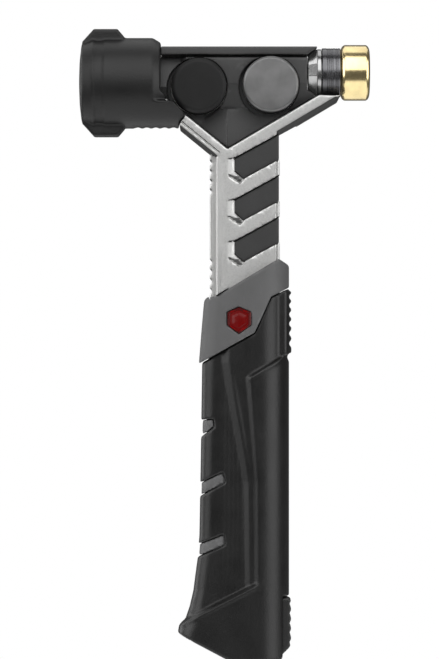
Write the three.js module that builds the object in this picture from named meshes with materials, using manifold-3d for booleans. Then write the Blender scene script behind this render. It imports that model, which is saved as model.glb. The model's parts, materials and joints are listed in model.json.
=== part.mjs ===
// Hammer with interchangeable faces: a rubber mallet cap, a screw-in brass face, two spare faces stored in
// the head, and a small tool stowed in the butt of the handle. Millimetres, +Z up along the handle,
// +X towards the brass face, -Y towards the side where the spare faces are stored.
// The origin is the middle of the grip.
import * as THREE from "three";
import { mergeVertices } from "three/addons/utils/BufferGeometryUtils.js";
import Module from "manifold-3d";

const wasm = await Module();
wasm.setup();

// ---- Driving dimensions (mm) ----

const GAP = 0.2; // between pieces that touch on the real hammer
const VISIBLE_GAP = 0.5; // the dark line round the tray

const HEAD_HALF = 9.6; // half the thickness of the frame
const WEB_HALF = 1.4; // half the thickness of the web behind the tray
const STRIP_HALF = 6; // half the thickness of the stepped edges of the neck

const RAIL = { bottom: 161.5, top: 164.7, start: -33.9, lowerEnd: 24.2, upperEnd: 28.7, bevel: 0.4 };
const POLL = { z: 150.6, radius: 14, end: -57.5, shoulder: -35.4, chamfer: 1.6 };
const CAP = { radius: 18.1, bore: 14.3, cavityEnd: -58, face: -65.6, apex: -66.6, rim: -24.4 };
const SOCKET = {
  z: 154.8,
  nose: 6.6, // radius of the bush at its narrow end
  boss: 9.4,
  collar: 9.8,
  bore: 6.5, // inside the collar
  bossStart: 24.7,
  taper: 3.9,
  collarStart: 30.2,
  collarEnd: 37.7,
};
const FACE = { radius: 11.1, length: 11.4, studRadius: 3, studLength: 7, studBore: 3.35 };
const RIM = { brass: 1.3, nylon: 1.1, steel: 0.7 };
const BRASS_START = 37.9;

const NYLON_SEAT = { x: -18.8, z: 149 };
const STEEL_SEAT = { x: 9.8, z: 149.6 };
const SEAT_RADIUS = 11.3;
const TRAY_FRONT_Y = -8.4;
const TRAY_REAR_Y = 8.4;
const INSERT = { radius: 4.2, start: 1.9, end: 8.1 };
const TRAY_SCREWS = [
  { x: -4.5, z: 156.5 },
  { x: -7, z: 132 },
];
const SCREW = { shank: 1.4, head: 2.8, headHeight: 1.6, end: -5.6, clearance: 1.8 };

// Corners of the fork, in X and Z
const CROTCH = [-7.4, 124];
const RIGHT_ARM_TIP = [29, 145.5];
const LEFT_ARM_TIP = [-24.2, 137.7];
const ARM_WIDTH = 5.8;
const HIDDEN_ARM = { start: POLL.shoulder - 0.4, end: -22, bottom: 134 };

// The neck stands on the bolster's slanted top at its shoulders, and enters it down to its entries.
const NECK = {
  half: 12,
  front: -14.5,
  back: 13.4,
  top: 123,
  frontShoulder: 65.8,
  backShoulder: 80.2,
  frontEntry: 60.8,
  backEntry: 75.2,
  cover: 1.2, // thickness of the bolster over the entry
};
const FRONT_STRIP = { bottom: 64.4, top: 121.5 };
const BACK_STRIP = { bottom: 78.6, top: 129 };
const SERRATION = { starts: [118.6, 79], pitch: 3.85, half: 0.8, depth: 0.9 };
const TANG = { half: 8.5, thick: 5, bottom: 25, top: 76 };
const INLAY = {
  pitch: 16.5,
  foot: -1.2,
  corner: -4.7,
  low: 112,
  high: 120.3,
  slope: 0.545,
  back: 13.1,
  gap: 0.15,
  half: 8.6,
};

const BACK_ROUND = { x: 3.2, radius: 14 }; // the round back of the handle, seen from below
const FRONT_ROUND = 10; // radius of the front of the handle
const RUBBER = 2.4; // thickness of the grip
const CORE_TOP = 81;
const BUTT_BOTTOM = -79.6;
const BORE = { x: 3.2, radius: 9.2, top: 20 };
const TAB_SLOT = { half: 7.6, top: -54.1 };
const PIN_RADIUS = 3;
const PINS = [
  { name: "tang_pin_upper", x: -3.1, z: 55.8, half: 9.4 },
  { name: "tang_pin_lower", x: -2, z: 33, half: 9.4 },
];
const BADGE = { x: -3.1, z: 55.8, halfWidth: 4.9, halfHeight: 5.2, thick: 1.6, depth: 12.75, turn: 20.2 };

const TOOL = { bottom: -79.4, top: 6, footX: 3.25, footRadius: 8.5, neckX: 4.1, neckRadius: 7.6 };
const TIP = { radius: 7.4, top: 18.7, spigot: 4, spigotEnd: -3, chamfer: 0.7 };
const TAB = { back: 17.9, bottom: -79.2, top: -54.7, half: 7, ridge: 4, groove: 0.55 };
const CROSS_HOLE = { x: 3.9, z: -8.2, radius: 3.5 };
const BALL = { x: -4.3, z: -69.6, radius: 2.4 };

const ROUND = 36; // sides of a large turned piece
const SMALL_ROUND = 20;

// ---- Solids: three.js shapes, joined and cut ----

const solid = (geometry) => {
  const bare = geometry.clone();
  bare.deleteAttribute("normal");
  bare.deleteAttribute("uv");
  const merged = mergeVertices(bare, 1e-4);
  return new wasm.Manifold(
    new wasm.Mesh({
      numProp: 3,
      vertProperties: new Float32Array(merged.attributes.position.array),
      triVerts: new Uint32Array(merged.index.array),
    }),
  );
};

const geometryOf = (body) => {
  const mesh = body.getMesh();
  const geometry = new THREE.BufferGeometry();
  geometry.setAttribute("position", new THREE.BufferAttribute(mesh.vertProperties, 3));
  geometry.setIndex(new THREE.BufferAttribute(mesh.triVerts, 1));
  const flat = geometry.toNonIndexed();
  flat.computeVertexNormals();
  return flat;
};

const union = (...bodies) => bodies.reduce((a, b) => a.add(b));
const cut = (body, ...tools) => tools.reduce((a, b) => a.subtract(b), body);

// A box between two corners.
const block = (low, high) => {
  const size = low.map((value, axis) => high[axis] - value);
  const middle = low.map((value, axis) => (high[axis] + value) / 2);
  return solid(new THREE.BoxGeometry(...size).translate(...middle));
};

// An X-Z outline made thick along Y, with its long edges bevelled when a bevel is given.
const plate = (outline, y0, y1, bevel = 0) => {
  const shape = new THREE.Shape(outline.map(([x, z]) => new THREE.Vector2(x, z)));
  const geometry = new THREE.ExtrudeGeometry(shape, {
    depth: y1 - y0 - 2 * bevel,
    bevelEnabled: bevel > 0,
    bevelThickness: bevel,
    bevelSize: bevel,
    bevelOffset: -bevel,
    bevelSegments: 1,
  });
  return solid(geometry.rotateX(Math.PI / 2).translate(0, y1 - bevel, 0));
};

// A profile of [radius, height] pairs, turned round +Z.
const turnedGeometry = (profile, sides) =>
  new THREE.LatheGeometry(
    profile.map(([radius, height]) => new THREE.Vector2(radius, height)),
    sides,
  ).rotateX(Math.PI / 2);

// The same turned round an axis along X, at height z.
const turnedAlongX = (profile, z, sides = ROUND) =>
  solid(turnedGeometry(profile, sides).rotateY(Math.PI / 2).translate(0, 0, z));

// The same turned round an axis along Y, through x and z.
const turnedAlongY = (profile, { x, z }, sides = SMALL_ROUND) =>
  solid(turnedGeometry(profile, sides).rotateX(-Math.PI / 2).translate(x, 0, z));

const turnedAlongZ = (profile, x, sides = ROUND) => solid(turnedGeometry(profile, sides).translate(x, 0, 0));

// The profile of a plain cylinder.
const rod = (radius, start, end) => [
  [0, start],
  [radius, start],
  [radius, end],
  [0, end],
];

// A closed skin through rings of points, lowest ring first, each ring counter-clockwise from above.
const loft = (rings) => {
  const sides = rings[0].length;
  const positions = rings.flat().flatMap((point) => point.toArray());
  const faces = [];
  for (let ring = 0; ring < rings.length - 1; ring += 1) {
    for (let side = 0; side < sides; side += 1) {
      const a = ring * sides + side;
      const b = ring * sides + ((side + 1) % sides);
      faces.push(a, b, b + sides, a, b + sides, a + sides);
    }
  }
  const last = (rings.length - 1) * sides;
  for (let side = 1; side < sides - 1; side += 1) {
    faces.push(0, side + 1, side);
    faces.push(last, last + side, last + side + 1);
  }
  const geometry = new THREE.BufferGeometry();
  geometry.setAttribute("position", new THREE.Float32BufferAttribute(positions, 3));
  geometry.setIndex(faces);
  return solid(geometry);
};

const model = new THREE.Group();

const piece = (name, body, colour, roughness, metalness) => {
  const material = new THREE.MeshStandardMaterial({ color: colour, roughness, metalness });
  const mesh = new THREE.Mesh(geometryOf(body), material);
  mesh.name = name;
  model.add(mesh);
};

// ---- Head frame ----

// A point on the line from a to b, moved sideways by an offset (to the left of the direction a to b).
const beside = (a, b, along, offset) => {
  const direction = new THREE.Vector2(b[0] - a[0], b[1] - a[1]).normalize();
  const x = a[0] + direction.x * along - direction.y * offset;
  const z = a[1] + direction.y * along + direction.x * offset;
  return [x, z];
};

const RIGHT_ARM_LENGTH = Math.hypot(RIGHT_ARM_TIP[0] - CROTCH[0], RIGHT_ARM_TIP[1] - CROTCH[1]);
const LEFT_ARM_LENGTH = Math.hypot(LEFT_ARM_TIP[0] - CROTCH[0], LEFT_ARM_TIP[1] - CROTCH[1]);

// Height of the left arm's inner edge.
const leftInner = (x) =>
  CROTCH[1] + ((x - CROTCH[0]) * (LEFT_ARM_TIP[1] - CROTCH[1])) / (LEFT_ARM_TIP[0] - CROTCH[0]);

// The tray's space: between the arms, the rail and the poll, grown outwards by a margin. Its right end runs
// past the start of the socket, which is cut out of whatever fills the pocket.
const pocketOutline = (margin, topMargin = margin) => {
  const left = POLL.shoulder + 0.4 - margin;
  const right = SOCKET.collarStart - 1.2;
  const top = RAIL.bottom - 0.5 + topMargin;
  const [lx, lz] = beside(CROTCH, LEFT_ARM_TIP, 0, margin);
  const [rx, rz] = beside(CROTCH, RIGHT_ARM_TIP, 0, -margin);
  const leftSlope = (LEFT_ARM_TIP[1] - CROTCH[1]) / (LEFT_ARM_TIP[0] - CROTCH[0]);
  const rightSlope = (RIGHT_ARM_TIP[1] - CROTCH[1]) / (RIGHT_ARM_TIP[0] - CROTCH[0]);
  const crotchX = (rz - lz + leftSlope * lx - rightSlope * rx) / (leftSlope - rightSlope);
  const crotchZ = lz + leftSlope * (crotchX - lx);
  return [
    [crotchX, crotchZ],
    [right, rz + rightSlope * (right - rx)],
    [right, top],
    [left, top],
    [left, lz + leftSlope * (left - lx)],
  ];
};

// The slanted windows of the neck, from the top one down, grown by a margin and open as far as back.
const inlayOutline = (index, margin, back) => {
  const drop = index * INLAY.pitch;
  const left = INLAY.corner - margin;
  const foot = INLAY.foot - margin;
  return [
    [foot, INLAY.low - drop - margin],
    [back, INLAY.low + (back - foot) * INLAY.slope - drop - margin],
    [back, INLAY.high + (back - left) * INLAY.slope - drop + margin],
    [left, INLAY.high - drop + margin],
    [left, INLAY.low + 3.2 - drop - margin],
  ];
};

const poll = () =>
  turnedAlongX(
    [
      [0, POLL.end],
      [POLL.radius - POLL.chamfer, POLL.end],
      [POLL.radius, POLL.end + POLL.chamfer],
      [POLL.radius, POLL.shoulder],
      [0, POLL.shoulder],
    ],
    POLL.z,
  );

const socketSpace = (margin) =>
  turnedAlongX(
    [
      [0, SOCKET.bossStart - margin],
      [SOCKET.nose + margin, SOCKET.bossStart - margin],
      [SOCKET.boss + margin, SOCKET.bossStart + SOCKET.taper - margin],
      [SOCKET.boss + margin, SOCKET.collarStart - margin],
      [SOCKET.collar + margin, SOCKET.collarStart - margin],
      [SOCKET.collar + margin, SOCKET.collarEnd + 3],
      [0, SOCKET.collarEnd + 3],
    ],
    SOCKET.z,
  );

// The socket's side view through the whole head, so that the tray leaves the bush in sight.
const socketSide = (margin) => {
  const half = (radius) => radius + margin;
  const start = SOCKET.bossStart - margin;
  const full = start + SOCKET.taper;
  return plate(
    [
      [start, SOCKET.z - half(SOCKET.nose)],
      [full, SOCKET.z - half(SOCKET.boss)],
      [SOCKET.collarEnd, SOCKET.z - half(SOCKET.boss)],
      [SOCKET.collarEnd, SOCKET.z + half(SOCKET.boss)],
      [full, SOCKET.z + half(SOCKET.boss)],
      [start, SOCKET.z + half(SOCKET.nose)],
    ],
    -HEAD_HALF,
    HEAD_HALF,
  );
};

// Both arms as one V, thick enough to hold the tray between them.
const arms = () => {
  const rightEnd = [37.4, 145.2];
  const outline = [
    beside(CROTCH, LEFT_ARM_TIP, 4, ARM_WIDTH),
    [NECK.front + 2.5, 121],
    [NECK.half, 121],
    [NECK.half, 128.6],
    beside(CROTCH, RIGHT_ARM_TIP, RIGHT_ARM_LENGTH + 5.2, -ARM_WIDTH),
    rightEnd,
    RIGHT_ARM_TIP,
    CROTCH,
    LEFT_ARM_TIP,
    beside(CROTCH, LEFT_ARM_TIP, LEFT_ARM_LENGTH - 0.6, ARM_WIDTH - 1.4),
    beside(CROTCH, LEFT_ARM_TIP, LEFT_ARM_LENGTH - 2, ARM_WIDTH),
  ];
  return plate(outline, -HEAD_HALF, HEAD_HALF);
};

// The neck seen from the side, with a slanted foot from the height front up to the height back.
const neckOutline = (margin, front, back, top) => [
  [-NECK.half - margin, front - margin],
  [NECK.half + margin, back - margin],
  [NECK.half + margin, top],
  [-NECK.half - margin, top],
];

const headFrame = () => {
  const neck = plate(neckOutline(0, NECK.frontShoulder, NECK.backShoulder, NECK.top), -HEAD_HALF, HEAD_HALF);
  const entry = neckEntry(0, NECK.backShoulder + 1);
  const frontStrip = block([NECK.front, -STRIP_HALF, FRONT_STRIP.bottom], [0, STRIP_HALF, FRONT_STRIP.top]);
  const backStrip = block([6, -STRIP_HALF, BACK_STRIP.bottom], [NECK.back, STRIP_HALF, BACK_STRIP.top]);
  const tang = block([-TANG.half, -TANG.thick, TANG.bottom], [TANG.half, TANG.thick, TANG.top]);
  // The left arm goes on under the cap's skirt as far as the poll, inside the poll's round.
  const hidden = plate(
    [
      [HIDDEN_ARM.start, HIDDEN_ARM.bottom],
      [HIDDEN_ARM.end, HIDDEN_ARM.bottom],
      [HIDDEN_ARM.end, leftInner(HIDDEN_ARM.end)],
      [HIDDEN_ARM.start, leftInner(HIDDEN_ARM.start)],
    ],
    -HEAD_HALF,
    HEAD_HALF,
  ).intersect(turnedAlongX(rod(POLL.radius, HIDDEN_ARM.start, HIDDEN_ARM.end), POLL.z));
  const web = plate(pocketOutline(0.6, 0.5 - GAP), -WEB_HALF, WEB_HALF);
  const body = union(arms(), neck, entry, frontStrip, backStrip, tang, hidden, web, poll());
  const serrations = SERRATION.starts.flatMap((start) =>
    [0, 1, 2, 3].map((index) => {
      const z = start - index * SERRATION.pitch;
      const low = [NECK.front - 1, -STRIP_HALF - 1, z - SERRATION.half];
      return block(low, [NECK.front + SERRATION.depth, STRIP_HALF + 1, z + SERRATION.half]);
    }),
  );
  const windows = [0, 1, 2].map((index) => plate(inlayOutline(index, 0, 20), -HEAD_HALF - 1, HEAD_HALF + 1));
  const pinHoles = PINS.map((pin) => turnedAlongY(rod(PIN_RADIUS + GAP, -20, 20), pin));
  const studHoles = [NYLON_SEAT, STEEL_SEAT].map((seat) =>
    turnedAlongY(rod(INSERT.radius, -WEB_HALF - 1, WEB_HALF + 1), seat),
  );
  const screwHoles = TRAY_SCREWS.map((screw) =>
    turnedAlongY(rod(SCREW.clearance, -WEB_HALF - 1, WEB_HALF + 1), screw, 12),
  );
  return cut(body, ...serrations, ...windows, ...pinHoles, ...studHoles, ...screwHoles, socketSpace(GAP));
};

// ---- Upper part of the head ----

const topRail = () =>
  plate(
    [
      [RAIL.start, RAIL.bottom],
      [RAIL.lowerEnd, RAIL.bottom],
      [RAIL.upperEnd, RAIL.top],
      [RAIL.start, RAIL.top],
    ],
    -HEAD_HALF,
    HEAD_HALF,
    RAIL.bevel,
  );

const socketBoss = () =>
  turnedAlongX(
    [
      [0, SOCKET.bossStart],
      [SOCKET.nose, SOCKET.bossStart],
      [SOCKET.boss, SOCKET.bossStart + SOCKET.taper],
      [SOCKET.boss, SOCKET.collarStart - GAP],
      [SOCKET.bore, SOCKET.collarStart - GAP],
      [SOCKET.bore, SOCKET.collarEnd],
      [FACE.studBore, SOCKET.collarEnd],
      [FACE.studBore, BRASS_START - FACE.studLength - 0.8],
      [0, BRASS_START - FACE.studLength - 0.8],
    ],
    SOCKET.z,
  );

// The collar slips over the bush and carries three fine grooves.
const groovedCollar = () => {
  const inner = SOCKET.bore + GAP;
  const profile = [[inner, SOCKET.collarStart]];
  const grooves = [33, 34.6, 36.4];
  profile.push([SOCKET.collar, SOCKET.collarStart]);
  grooves.forEach((x) => {
    profile.push([SOCKET.collar, x - 0.35], [SOCKET.collar - 0.35, x - 0.2]);
    profile.push([SOCKET.collar - 0.35, x + 0.2], [SOCKET.collar, x + 0.35]);
  });
  profile.push([SOCKET.collar, SOCKET.collarEnd], [inner, SOCKET.collarEnd]);
  profile.push([inner, SOCKET.collarStart]);
  return turnedAlongX(profile, SOCKET.z);
};

// A striking face: a disc with a rim at both ends, and its stud. Heights grow from the stud to the
// strike face.
const faceProfile = (radius, rim, stud) => [
  [0, -stud],
  [FACE.studRadius - 0.4, -stud],
  [FACE.studRadius, -stud + 0.5],
  [FACE.studRadius, 0],
  [radius - 0.5, 0],
  [radius, 0.5],
  [radius, FACE.length - rim],
  [radius - rim, FACE.length],
  [0, FACE.length],
];

const brassFace = () =>
  turnedAlongX(
    faceProfile(FACE.radius, RIM.brass, FACE.studLength - 0.3).map(([radius, height]) => [
      radius,
      BRASS_START + height,
    ]),
    SOCKET.z,
  );

// The stored faces point their strike face towards -Y, so their heights are turned round.
const SEAT_FLOOR = -WEB_HALF - 0.1;
const storedFace = (seat, radius, rim, stud) => {
  const profile = faceProfile(radius, rim, stud).map(([r, height]) => [r, SEAT_FLOOR - height]);
  return turnedAlongY(profile.reverse(), seat, ROUND);
};

const nylonFace = () => {
  const outer = turnedAlongY(
    [
      [0, SEAT_FLOOR - FACE.length],
      [11 - RIM.nylon, SEAT_FLOOR - FACE.length],
      [11, SEAT_FLOOR - FACE.length + RIM.nylon],
      [11, SEAT_FLOOR],
      [0, SEAT_FLOOR],
    ],
    NYLON_SEAT,
    ROUND,
  );
  return cut(outer, turnedAlongY(rod(FACE.studRadius + 0.3, SEAT_FLOOR - 6.2, SEAT_FLOOR + 1), NYLON_SEAT));
};

const nylonStud = () =>
  turnedAlongY(rod(FACE.studRadius, SEAT_FLOOR - 5.9, SEAT_FLOOR + FACE.studLength), NYLON_SEAT);

// ---- Tray ----

const seatHole = (seat) => turnedAlongY(rod(SEAT_RADIUS, -20, -WEB_HALF - 0.05), seat, ROUND);

const trayFront = () => {
  const outline = pocketOutline(-VISIBLE_GAP);
  const body = cut(plate(outline, TRAY_FRONT_Y, -WEB_HALF - 0.1, 0.6), socketSide(VISIBLE_GAP));
  const screwHoles = TRAY_SCREWS.map((screw) =>
    turnedAlongY(rod(SCREW.shank + GAP, SCREW.end - 0.4, 0), screw, 12),
  );
  return cut(body, seatHole(NYLON_SEAT), seatHole(STEEL_SEAT), ...screwHoles);
};

const trayRear = () => {
  const outline = pocketOutline(-VISIBLE_GAP);
  const body = cut(plate(outline, WEB_HALF + 0.1, TRAY_REAR_Y, 0.6), socketSide(VISIBLE_GAP));
  const pockets = [NYLON_SEAT, STEEL_SEAT].map((seat) =>
    turnedAlongY(rod(INSERT.radius + GAP, 0, INSERT.end + GAP), seat),
  );
  const screwHoles = TRAY_SCREWS.map((screw) =>
    turnedAlongY(
      [
        [0, 0],
        [SCREW.clearance, 0],
        [SCREW.clearance, TRAY_REAR_Y - SCREW.headHeight - 0.4],
        [SCREW.head + 0.3, TRAY_REAR_Y - SCREW.headHeight - 0.4],
        [SCREW.head + 0.3, TRAY_REAR_Y + 1],
        [0, TRAY_REAR_Y + 1],
      ],
      screw,
      20,
    ),
  );
  return cut(body, ...pockets, ...screwHoles);
};

const threadedInsert = (seat) =>
  turnedAlongY(
    [
      [FACE.studBore, INSERT.start],
      [INSERT.radius, INSERT.start],
      [INSERT.radius, INSERT.end],
      [FACE.studBore, INSERT.end],
      [FACE.studBore, INSERT.start],
    ],
    seat,
  );

const trayScrew = (place) => {
  const under = TRAY_REAR_Y - SCREW.headHeight - 0.2;
  const body = turnedAlongY(
    [
      [0, SCREW.end],
      [SCREW.shank, SCREW.end],
      [SCREW.shank, under],
      [SCREW.head, under],
      [SCREW.head, TRAY_REAR_Y - 0.5],
      [SCREW.head - 0.3, TRAY_REAR_Y - 0.2],
      [0, TRAY_REAR_Y - 0.2],
    ],
    place,
    20,
  );
  const hexSocket = turnedAlongY(rod(1.3, TRAY_REAR_Y - 1.2, TRAY_REAR_Y + 1), place, 6);
  return cut(body, hexSocket);
};

// ---- Mallet cap ----

// The lug seen from the side, before it is mirrored to the bottom, as X and height above the cap's axis.
const lugOutline = [
  [-65.3, 14],
  [-65.3, 16.2],
  [-60.7, 21.3],
  [-51.2, 21.3],
  [-48.4, 18],
  [-48.4, 14],
];

const malletCap = () => {
  const shell = turnedAlongX(
    [
      [0, CAP.apex],
      [6, CAP.apex + 0.1],
      [12, CAP.face],
      [16.2, CAP.face],
      [CAP.radius, CAP.face + 4.6],
      [CAP.radius, CAP.rim],
      [0, CAP.rim],
    ],
    POLL.z,
    48,
  );
  const lugs = [1, -1].map((side) =>
    plate(
      (side > 0 ? lugOutline : [...lugOutline].reverse()).map(([x, h]) => [x, POLL.z + side * h]),
      -6.5,
      6.5,
      0.8,
    ),
  );
  const cavity = turnedAlongX(
    [
      [0, CAP.cavityEnd],
      [CAP.bore - POLL.chamfer, CAP.cavityEnd],
      [CAP.bore, CAP.cavityEnd + POLL.chamfer],
      [CAP.bore, -20],
      [0, -20],
    ],
    POLL.z,
    48,
  );
  // Past the rear edge only the skirt under the head stays.
  const aboveSkirt = plate(
    [
      [-34, 147.2],
      [-29.2, 142.6],
      [-25.6, 139.1],
      [-24.46, 137.86],
      [-26.78, 134.07],
      [-26.75, 130],
      [-20, 130],
      [-20, 180],
      [-34, 180],
    ],
    -20,
    20,
  );
  const grooves = [];
  for (let index = 0; index < 4; index += 1) {
    const x = -32 - index * 3.57;
    grooves.push(block([x - 0.7, -6.5, 130], [x + 0.7, 6.5, 133.2]));
  }
  return cut(union(shell, ...lugs), cavity, aboveSkirt, ...grooves);
};

// ---- Handle ----

// The front edge of the handle by height, from the butt to the bolster.
const FRONT_EDGE = [
  [-84, -31.4],
  [-68, -27.2],
  [-64.8, -26],
  [-58.4, -23.8],
  [-52, -22.3],
  [-45.6, -21.5],
  [-39, -20.6],
  [-30, -19.9],
  [0, -19.4],
  [38, -18.9],
  [52, -17.8],
  [62.4, -16.9],
  [CORE_TOP + 3, -14.6],
];

// One ring of the handle: the belt round the back round and the front round.
const handleRing = (height, front, inset) => {
  const sides = 32;
  const back = new THREE.Vector2(BACK_ROUND.x, 0);
  const nose = new THREE.Vector2(front + FRONT_ROUND, 0);
  const ring = [];
  for (let side = 0; side < sides; side += 1) {
    const angle = ((side + 0.5) / sides) * 2 * Math.PI;
    const along = new THREE.Vector2(Math.cos(angle), Math.sin(angle));
    const reachBack = back.dot(along) + BACK_ROUND.radius;
    const reachNose = nose.dot(along) + FRONT_ROUND;
    const [centre, radius] = reachBack > reachNose ? [back, BACK_ROUND.radius] : [nose, FRONT_ROUND];
    const point = along.clone().multiplyScalar(radius - inset).add(centre);
    ring.push(new THREE.Vector3(point.x, point.y, height));
  }
  return ring;
};

const handleBody = (inset) => loft(FRONT_EDGE.map(([height, front]) => handleRing(height, front, inset)));

// The side view that trims the ends of the handle, moved in by an inset.
const handleSide = (inset) =>
  plate(
    [
      [-36, -64.5 + inset],
      [-6.4, BUTT_BOTTOM + inset],
      [14 - inset * 0.4, BUTT_BOTTOM + inset],
      [22, -69.8 + inset],
      [22, 74.8],
      [17.2, 77.8],
      [13, 80.3],
      [11.9, 79.8],
      [-12, 65.4],
      [-15.2, 65.2],
      [-36, 50],
    ],
    -20,
    20,
  );

// The boundary between the bolster above and the rubber below, as an outline that holds one or the other.
const boundary = (shift) => [
  [-30, 32.1 + shift],
  [-18.8, 38.4 + shift],
  [3.3, 50.8 + shift],
  [9.9, 65.1 + shift],
  [16.4, 68.4 + shift],
  [24, 72.3 + shift],
];
const aboveBoundary = () => plate([...boundary(0.15), [24, 90], [-30, 90]], -20, 20);
const belowBoundary = () => plate([[-40, -90], [24, -90], ...boundary(-0.15).reverse(), [-40, 26]], -20, 20);

// The slanted bars of the core that show through the grip.
const BARS = [
  [[-24, 5], [-12.9, 13.6], [-13.3, 16.3], [-24, 15.2]],
  [[-24, -17.4], [-8.6, -8.4], [-9.6, -4.9], [-24, -12]],
  [[-28, -42.6], [-8.6, -33.2], [-9.2, -29.6], [-28, -37.4]],
];
const barBlocks = (margin) =>
  BARS.map(([lowLeft, lowRight, highRight, highLeft]) =>
    plate(
      [
        [lowLeft[0], lowLeft[1] - margin],
        [lowRight[0] + margin, lowRight[1] - margin],
        [highRight[0] + margin, highRight[1] + margin],
        [highLeft[0], highLeft[1] + margin],
      ],
      -20,
      20,
    ),
  );

const toolBore = () => turnedAlongZ(rod(BORE.radius, -90, BORE.top), BORE.x);
const tabSlot = () => block([BORE.x, -TAB_SLOT.half, -90], [24, TAB_SLOT.half, TAB_SLOT.top]);

const badgeSpace = (side, margin) => {
  const hexagon = [
    [-BADGE.halfWidth, 0.62],
    [-BADGE.halfWidth, -0.35],
    [0, -1],
    [BADGE.halfWidth, -0.35],
    [BADGE.halfWidth, 0.62],
    [0, 1],
  ].map(([x, share]) => [x, share * BADGE.halfHeight]);
  const grown = hexagon.map(([x, z]) => {
    const scale = 1 + margin / BADGE.halfWidth;
    return [x * scale, z * scale];
  });
  const shape = new THREE.Shape(grown.map(([x, z]) => new THREE.Vector2(x, z)));
  const bevel = margin > 0 ? 0 : 0.4;
  const geometry = new THREE.ExtrudeGeometry(shape, {
    depth: BADGE.thick - bevel + (margin > 0 ? 4 : 0),
    bevelEnabled: bevel > 0,
    bevelThickness: bevel / 2,
    bevelSize: bevel,
    bevelOffset: -bevel,
    bevelSegments: 1,
  });
  geometry.rotateX(Math.PI / 2).translate(0, margin > 0 ? 0.3 : -bevel / 2, 0);
  if (side < 0) {
    geometry.rotateZ(THREE.MathUtils.degToRad(-BADGE.turn));
    geometry.translate(BADGE.x + 0.5, -BADGE.depth + BADGE.thick, BADGE.z);
  } else {
    geometry.rotateZ(THREE.MathUtils.degToRad(180 + BADGE.turn));
    geometry.translate(BADGE.x + 0.5, BADGE.depth - BADGE.thick, BADGE.z);
  }
  return solid(geometry);
};

// The part of the neck inside the bolster, under the bolster's round front and back.
const neckEntry = (margin, top) =>
  plate(
    neckOutline(margin, NECK.frontEntry, NECK.backEntry, top),
    -HEAD_HALF - margin,
    HEAD_HALF + margin,
  ).intersect(handleBody(NECK.cover - margin));

const SLOT_TOP = 90; // above the whole handle
const neckSlot = () => {
  const side = STRIP_HALF + GAP;
  return union(
    block(
      [-TANG.half - GAP, -TANG.thick - GAP, TANG.bottom - GAP],
      [TANG.half + GAP, TANG.thick + GAP, SLOT_TOP],
    ),
    neckEntry(GAP, SLOT_TOP),
    block([NECK.front - GAP, -side, FRONT_STRIP.bottom - GAP], [0, side, SLOT_TOP]),
    block([0, -side, BACK_STRIP.bottom - GAP], [NECK.back + GAP, side, SLOT_TOP]),
  );
};

const handleCore = () => {
  const outer = handleBody(0).intersect(handleSide(0));
  const bolster = outer.intersect(aboveBoundary());
  const inner = handleBody(RUBBER + GAP).intersect(handleSide(RUBBER + GAP));
  const bars = barBlocks(0).map((bar) => handleBody(0.8).intersect(bar));
  const body = union(bolster, inner, ...bars);
  const pinHoles = PINS.map((pin) => turnedAlongY(rod(PIN_RADIUS + GAP, -pin.half - 3, pin.half + 3), pin));
  // The ball of the stowed tool runs in a groove down the front of the bore.
  const ballGroove = block([BALL.x - 3.2, -BALL.radius - 0.5, -90], [BORE.x, BALL.radius + 0.5, BALL.z + 3]);
  return cut(
    body,
    toolBore(),
    tabSlot(),
    ballGroove,
    neckSlot(),
    ...pinHoles,
    badgeSpace(-1, 0.3),
    badgeSpace(1, 0.3),
  );
};

const rubberGrip = () => {
  const outer = handleBody(0).intersect(handleSide(0)).intersect(belowBoundary());
  const inside = handleBody(RUBBER).intersect(handleSide(RUBBER));
  const notch = (z) =>
    plate(
      [
        [15.9, z],
        [20, z - 1.6],
        [20, z + 1.6],
      ],
      -20,
      20,
    );
  return cut(outer, inside, ...barBlocks(0.3), toolBore(), tabSlot(), notch(41.6));
};

// ---- Stowed tool ----

const toolBody = () => {
  const sides = 32;
  const ring = (height, x, radius) =>
    Array.from({ length: sides }, (_, side) => {
      const angle = ((side + 0.5) / sides) * 2 * Math.PI;
      return new THREE.Vector3(x + radius * Math.cos(angle), radius * Math.sin(angle), height);
    });
  const barrel = loft([
    ring(TOOL.bottom, TOOL.footX, TOOL.footRadius - 0.6),
    ring(TOOL.bottom + 0.6, TOOL.footX, TOOL.footRadius),
    ring(TOOL.top - 0.4, TOOL.neckX, TOOL.neckRadius),
    ring(TOOL.top, TOOL.neckX, TOOL.neckRadius - 0.4),
  ]);
  const tab = plate(
    [
      [TOOL.footX, TAB.bottom],
      [TAB.back - 5.4, TAB.bottom],
      [TAB.back - 0.8, TAB.bottom + 4.6],
      [TAB.back, TAB.bottom + 6],
      [TAB.back, TAB.top - 0.8],
      [TAB.back - 1.4, TAB.top],
      [TOOL.footX, TAB.top],
    ],
    -TAB.half,
    TAB.half,
  );
  const grooves = [];
  for (let index = 0; index < 4; index += 1) {
    const z = TAB.top - 4.3 - index * TAB.ridge;
    grooves.push(
      block([TAB.back - TAB.groove, -TAB.half - 1, z - 0.7], [TAB.back + 1, TAB.half + 1, z + 0.7]),
    );
  }
  const crossHole = turnedAlongY(rod(CROSS_HOLE.radius, -20, 20), CROSS_HOLE);
  const tipHole = turnedAlongZ(
    rod(TIP.spigot + 0.2, TIP.spigotEnd - 0.3, TOOL.top + 1),
    TOOL.neckX,
    SMALL_ROUND,
  );
  const ballHole = turnedAlongX(rod(BALL.radius + 0.2, -12, 2.6), BALL.z, 16);
  return cut(union(barrel, tab), ...grooves, crossHole, tipHole, ballHole);
};

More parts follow.
